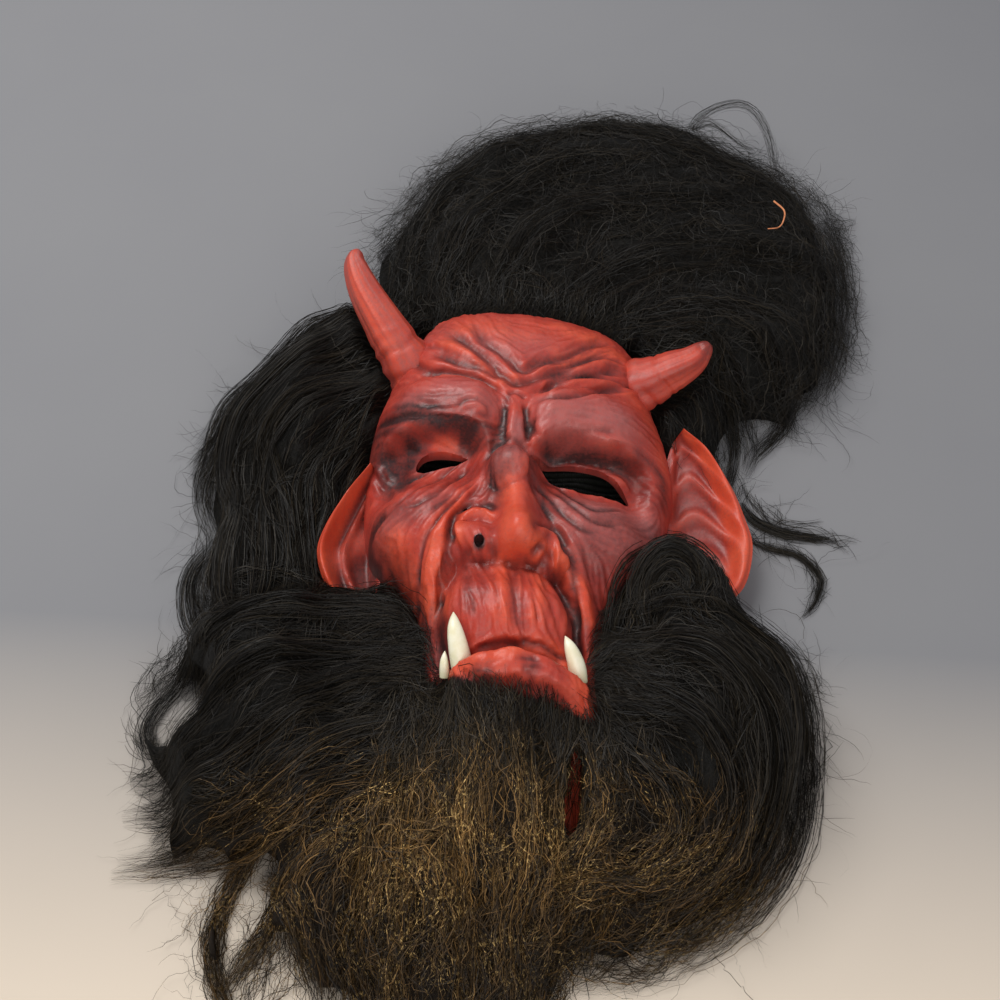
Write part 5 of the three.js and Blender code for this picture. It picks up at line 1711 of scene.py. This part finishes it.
def make_hair(latex):
    """The dark body, the strands of every mass on it, the loose strands and the stray thread."""
    rng = np.random.default_rng(23)
    tops = {name: top_field(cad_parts[name]) for name in LOCKS}
    over = top_field(latex)
    x, y = grid_places()
    chin = chin_share(x, y)
    glimpse = near_line(GLIMPSE, x, y)
    flows = {name: flow_field([line for _, _, line in locks]) for name, locks in LOCKS.items()}
    relief = lock_relief(rng, tops, flows)
    bare = np.any([in_outline(outline, x, y) for outline in GAPS[:3]], axis=0)
    ground = shape_body(rng, np.max(list(tops.values()), axis=0), over, bare, relief)
    ground = soften(np.maximum(ground, np.where(chin > 0.5, over + CHIN_HAIR, 0)), 1)
    # Hair also lies over the clefts between the masses and over the nearest edge of the latex.
    level = np.maximum(ground, np.where(over > ON_LATEX, over, 0))
    level = soften(spread(spread(level, 6, np.maximum), 6, np.minimum), 3)
    jaws = (y < np.where(x < 0, -84, -62)) & (glimpse > 5)
    allowed = jaws | ((y > 150) & (x > -62) & (x < 78)) | (over < ON_LATEX)
    covered = (spread(ground, 3, np.maximum) > ON_HAIR) & allowed
    ground = np.where(covered, np.maximum(ground, level), ground)
    veil = soften(ground, 60)
    frizz = spread(np.where(tops["hair_crown"] > IN_MASS, ground, 0), 7, np.maximum)
    veils = {name: veil for name in STYLE}
    veils["hair_crown"] = np.maximum(veil, soften(frizz, 30))
    near_edge = spread(np.maximum(ground, over), 6, np.minimum) < 3
    strand = hair_material()
    on_hair = ground > ON_HAIR
    for name, style in STYLE.items():
        own = np.where(on_hair, spread(tops[name], 7, np.maximum), spread(tops[name], 2, np.maximum))
        own = np.where((on_hair | (over < ON_LATEX)) & ~bare, own, 0)
        groups = surface_strands(rng, style, flows[name], own, ground, over, veils[name])
        for count, radius, points in LOCKS[name]:
            groups.append(lock_strands(rng, count, radius, points, ground, over, 0.4 * style.frizz))
        for mass, count, depth, heading, line in ROOTS:
            if mass == name:
                groups.append(root_strands(rng, count, depth, heading, line, ground, over))
        add_strands(rng, name + "_locks", name, strand, groups, glimpse, 1.0, 0.12 * style.frizz)
    groups = []
    for name, style in STYLE.items():
        groups += loose_strands(rng, style.loose, 1.5 * style.curl, (tops[name] > IN_MASS) & near_edge,
                                flows[name], tops[name], ground, over, veils[name])
    crown = tops["hair_crown"]
    groups += loose_strands(rng, MATTED, 1.6, (crown > IN_MASS) & (ground > 8), flows["hair_crown"],
                            crown, ground, over, ground)
    count, radius, rise, points = ARCH
    groups.append(lock_strands(rng, count, radius, points, ground, over, 1.2, rise))
    add_strands(rng, "hair_flyaway_strands", "hair_crown", strand, groups, glimpse, 0.6, 0.3)
    make_thread(ground)


# A stray orange fibre that lies on the crown, as (X, Y)
THREAD = [(181, 272), (188, 263), (187, 253), (183, 246), (175, 244)]


def make_thread(ground):
    """One short thick fibre that lies on top of the hair."""
    path = np.array([(x, y, 0.0) for x, y in THREAD])
    path[:, 2] = read_field(ground, path[:, :2]).max() + 7
    rings = tube_rings(path, 28, 8, lambda t, angle: 0.75 * (1 - 0.5 * t) + 0 * angle)
    finish_piece(solid("stray_thread", rings), thread_material(), "hair", "hair_crown")


# The camera, at the photograph's viewing angle. Its focal length is in pixels of the picture.
CAMERA_TARGET = (-9, 6, 60)
CAMERA_AWAY = 890
CAMERA_TURN, CAMERA_RISE, CAMERA_ROLL = 2.0, 58.0, 1.0
FOCAL, PICTURE, SENSOR = 1374, 1000, 36


def make_camera():
    turn, rise, roll = (math.radians(v) for v in (CAMERA_TURN, CAMERA_RISE, CAMERA_ROLL))
    back = Vector((math.sin(turn) * math.cos(rise), -math.cos(turn) * math.cos(rise), math.sin(rise)))
    right = Vector((math.cos(turn), math.sin(turn), 0))
    up = back.cross(right)
    tilted_right = right * math.cos(roll) + up * math.sin(roll)
    tilted_up = up * math.cos(roll) - right * math.sin(roll)
    data = bpy.data.cameras.new("camera")
    data.lens = FOCAL * SENSOR / PICTURE
    data.sensor_width = SENSOR
    data.clip_start = 0.01
    camera = bpy.data.objects.new("camera", data)
    bpy.context.scene.collection.objects.link(camera)
    pose = Matrix((tilted_right, tilted_up, back)).transposed().to_4x4()
    pose.translation = (Vector(CAMERA_TARGET) + back * CAMERA_AWAY) * MM
    camera.matrix_world = pose
    bpy.context.scene.camera = camera


def make_light(name, place, target, size, power, tint):
    data = bpy.data.lights.new(name, "AREA")
    data.shape = "SQUARE"
    data.size = size
    data.energy = power
    data.color = tint
    light = bpy.data.objects.new(name, data)
    bpy.context.scene.collection.objects.link(light)
    aim = Vector(target) - Vector(place)
    light.matrix_world = Matrix.Translation(place) @ aim.to_track_quat("-Z", "Y").to_matrix().to_4x4()


def make_studio():
    make_light("key", (-0.7, 0.6, 1.5), (0, 0, 0.05), 1.0, 22, (1.0, 0.99, 0.97))
    make_light("front", (0.3, -1.3, 1.2), (0, -0.1, 0.05), 1.2, 12, (1.0, 0.96, 0.90))
    world = bpy.data.worlds.new("studio")
    world.use_nodes = True
    background = world.node_tree.nodes["Background"]
    background.inputs["Color"].default_value = (0.90, 0.92, 1.0, 1)
    background.inputs["Strength"].default_value = 0.42
    bpy.context.scene.world = world
    bpy.context.scene.view_settings.view_transform = "Standard"
    half, level = 3000.0, -1
    corners = [(x * half, y * half, level) for x, y in ((-1, -1), (1, -1), (1, 1), (-1, 1))]
    floor = build("floor", np.array(corners), np.array([[0, 1, 2, 3]]))
    floor.data.materials.append(floor_material())


latex = make_latex()
make_teeth()
make_hood()
make_hair(latex)
make_camera()
make_studio()
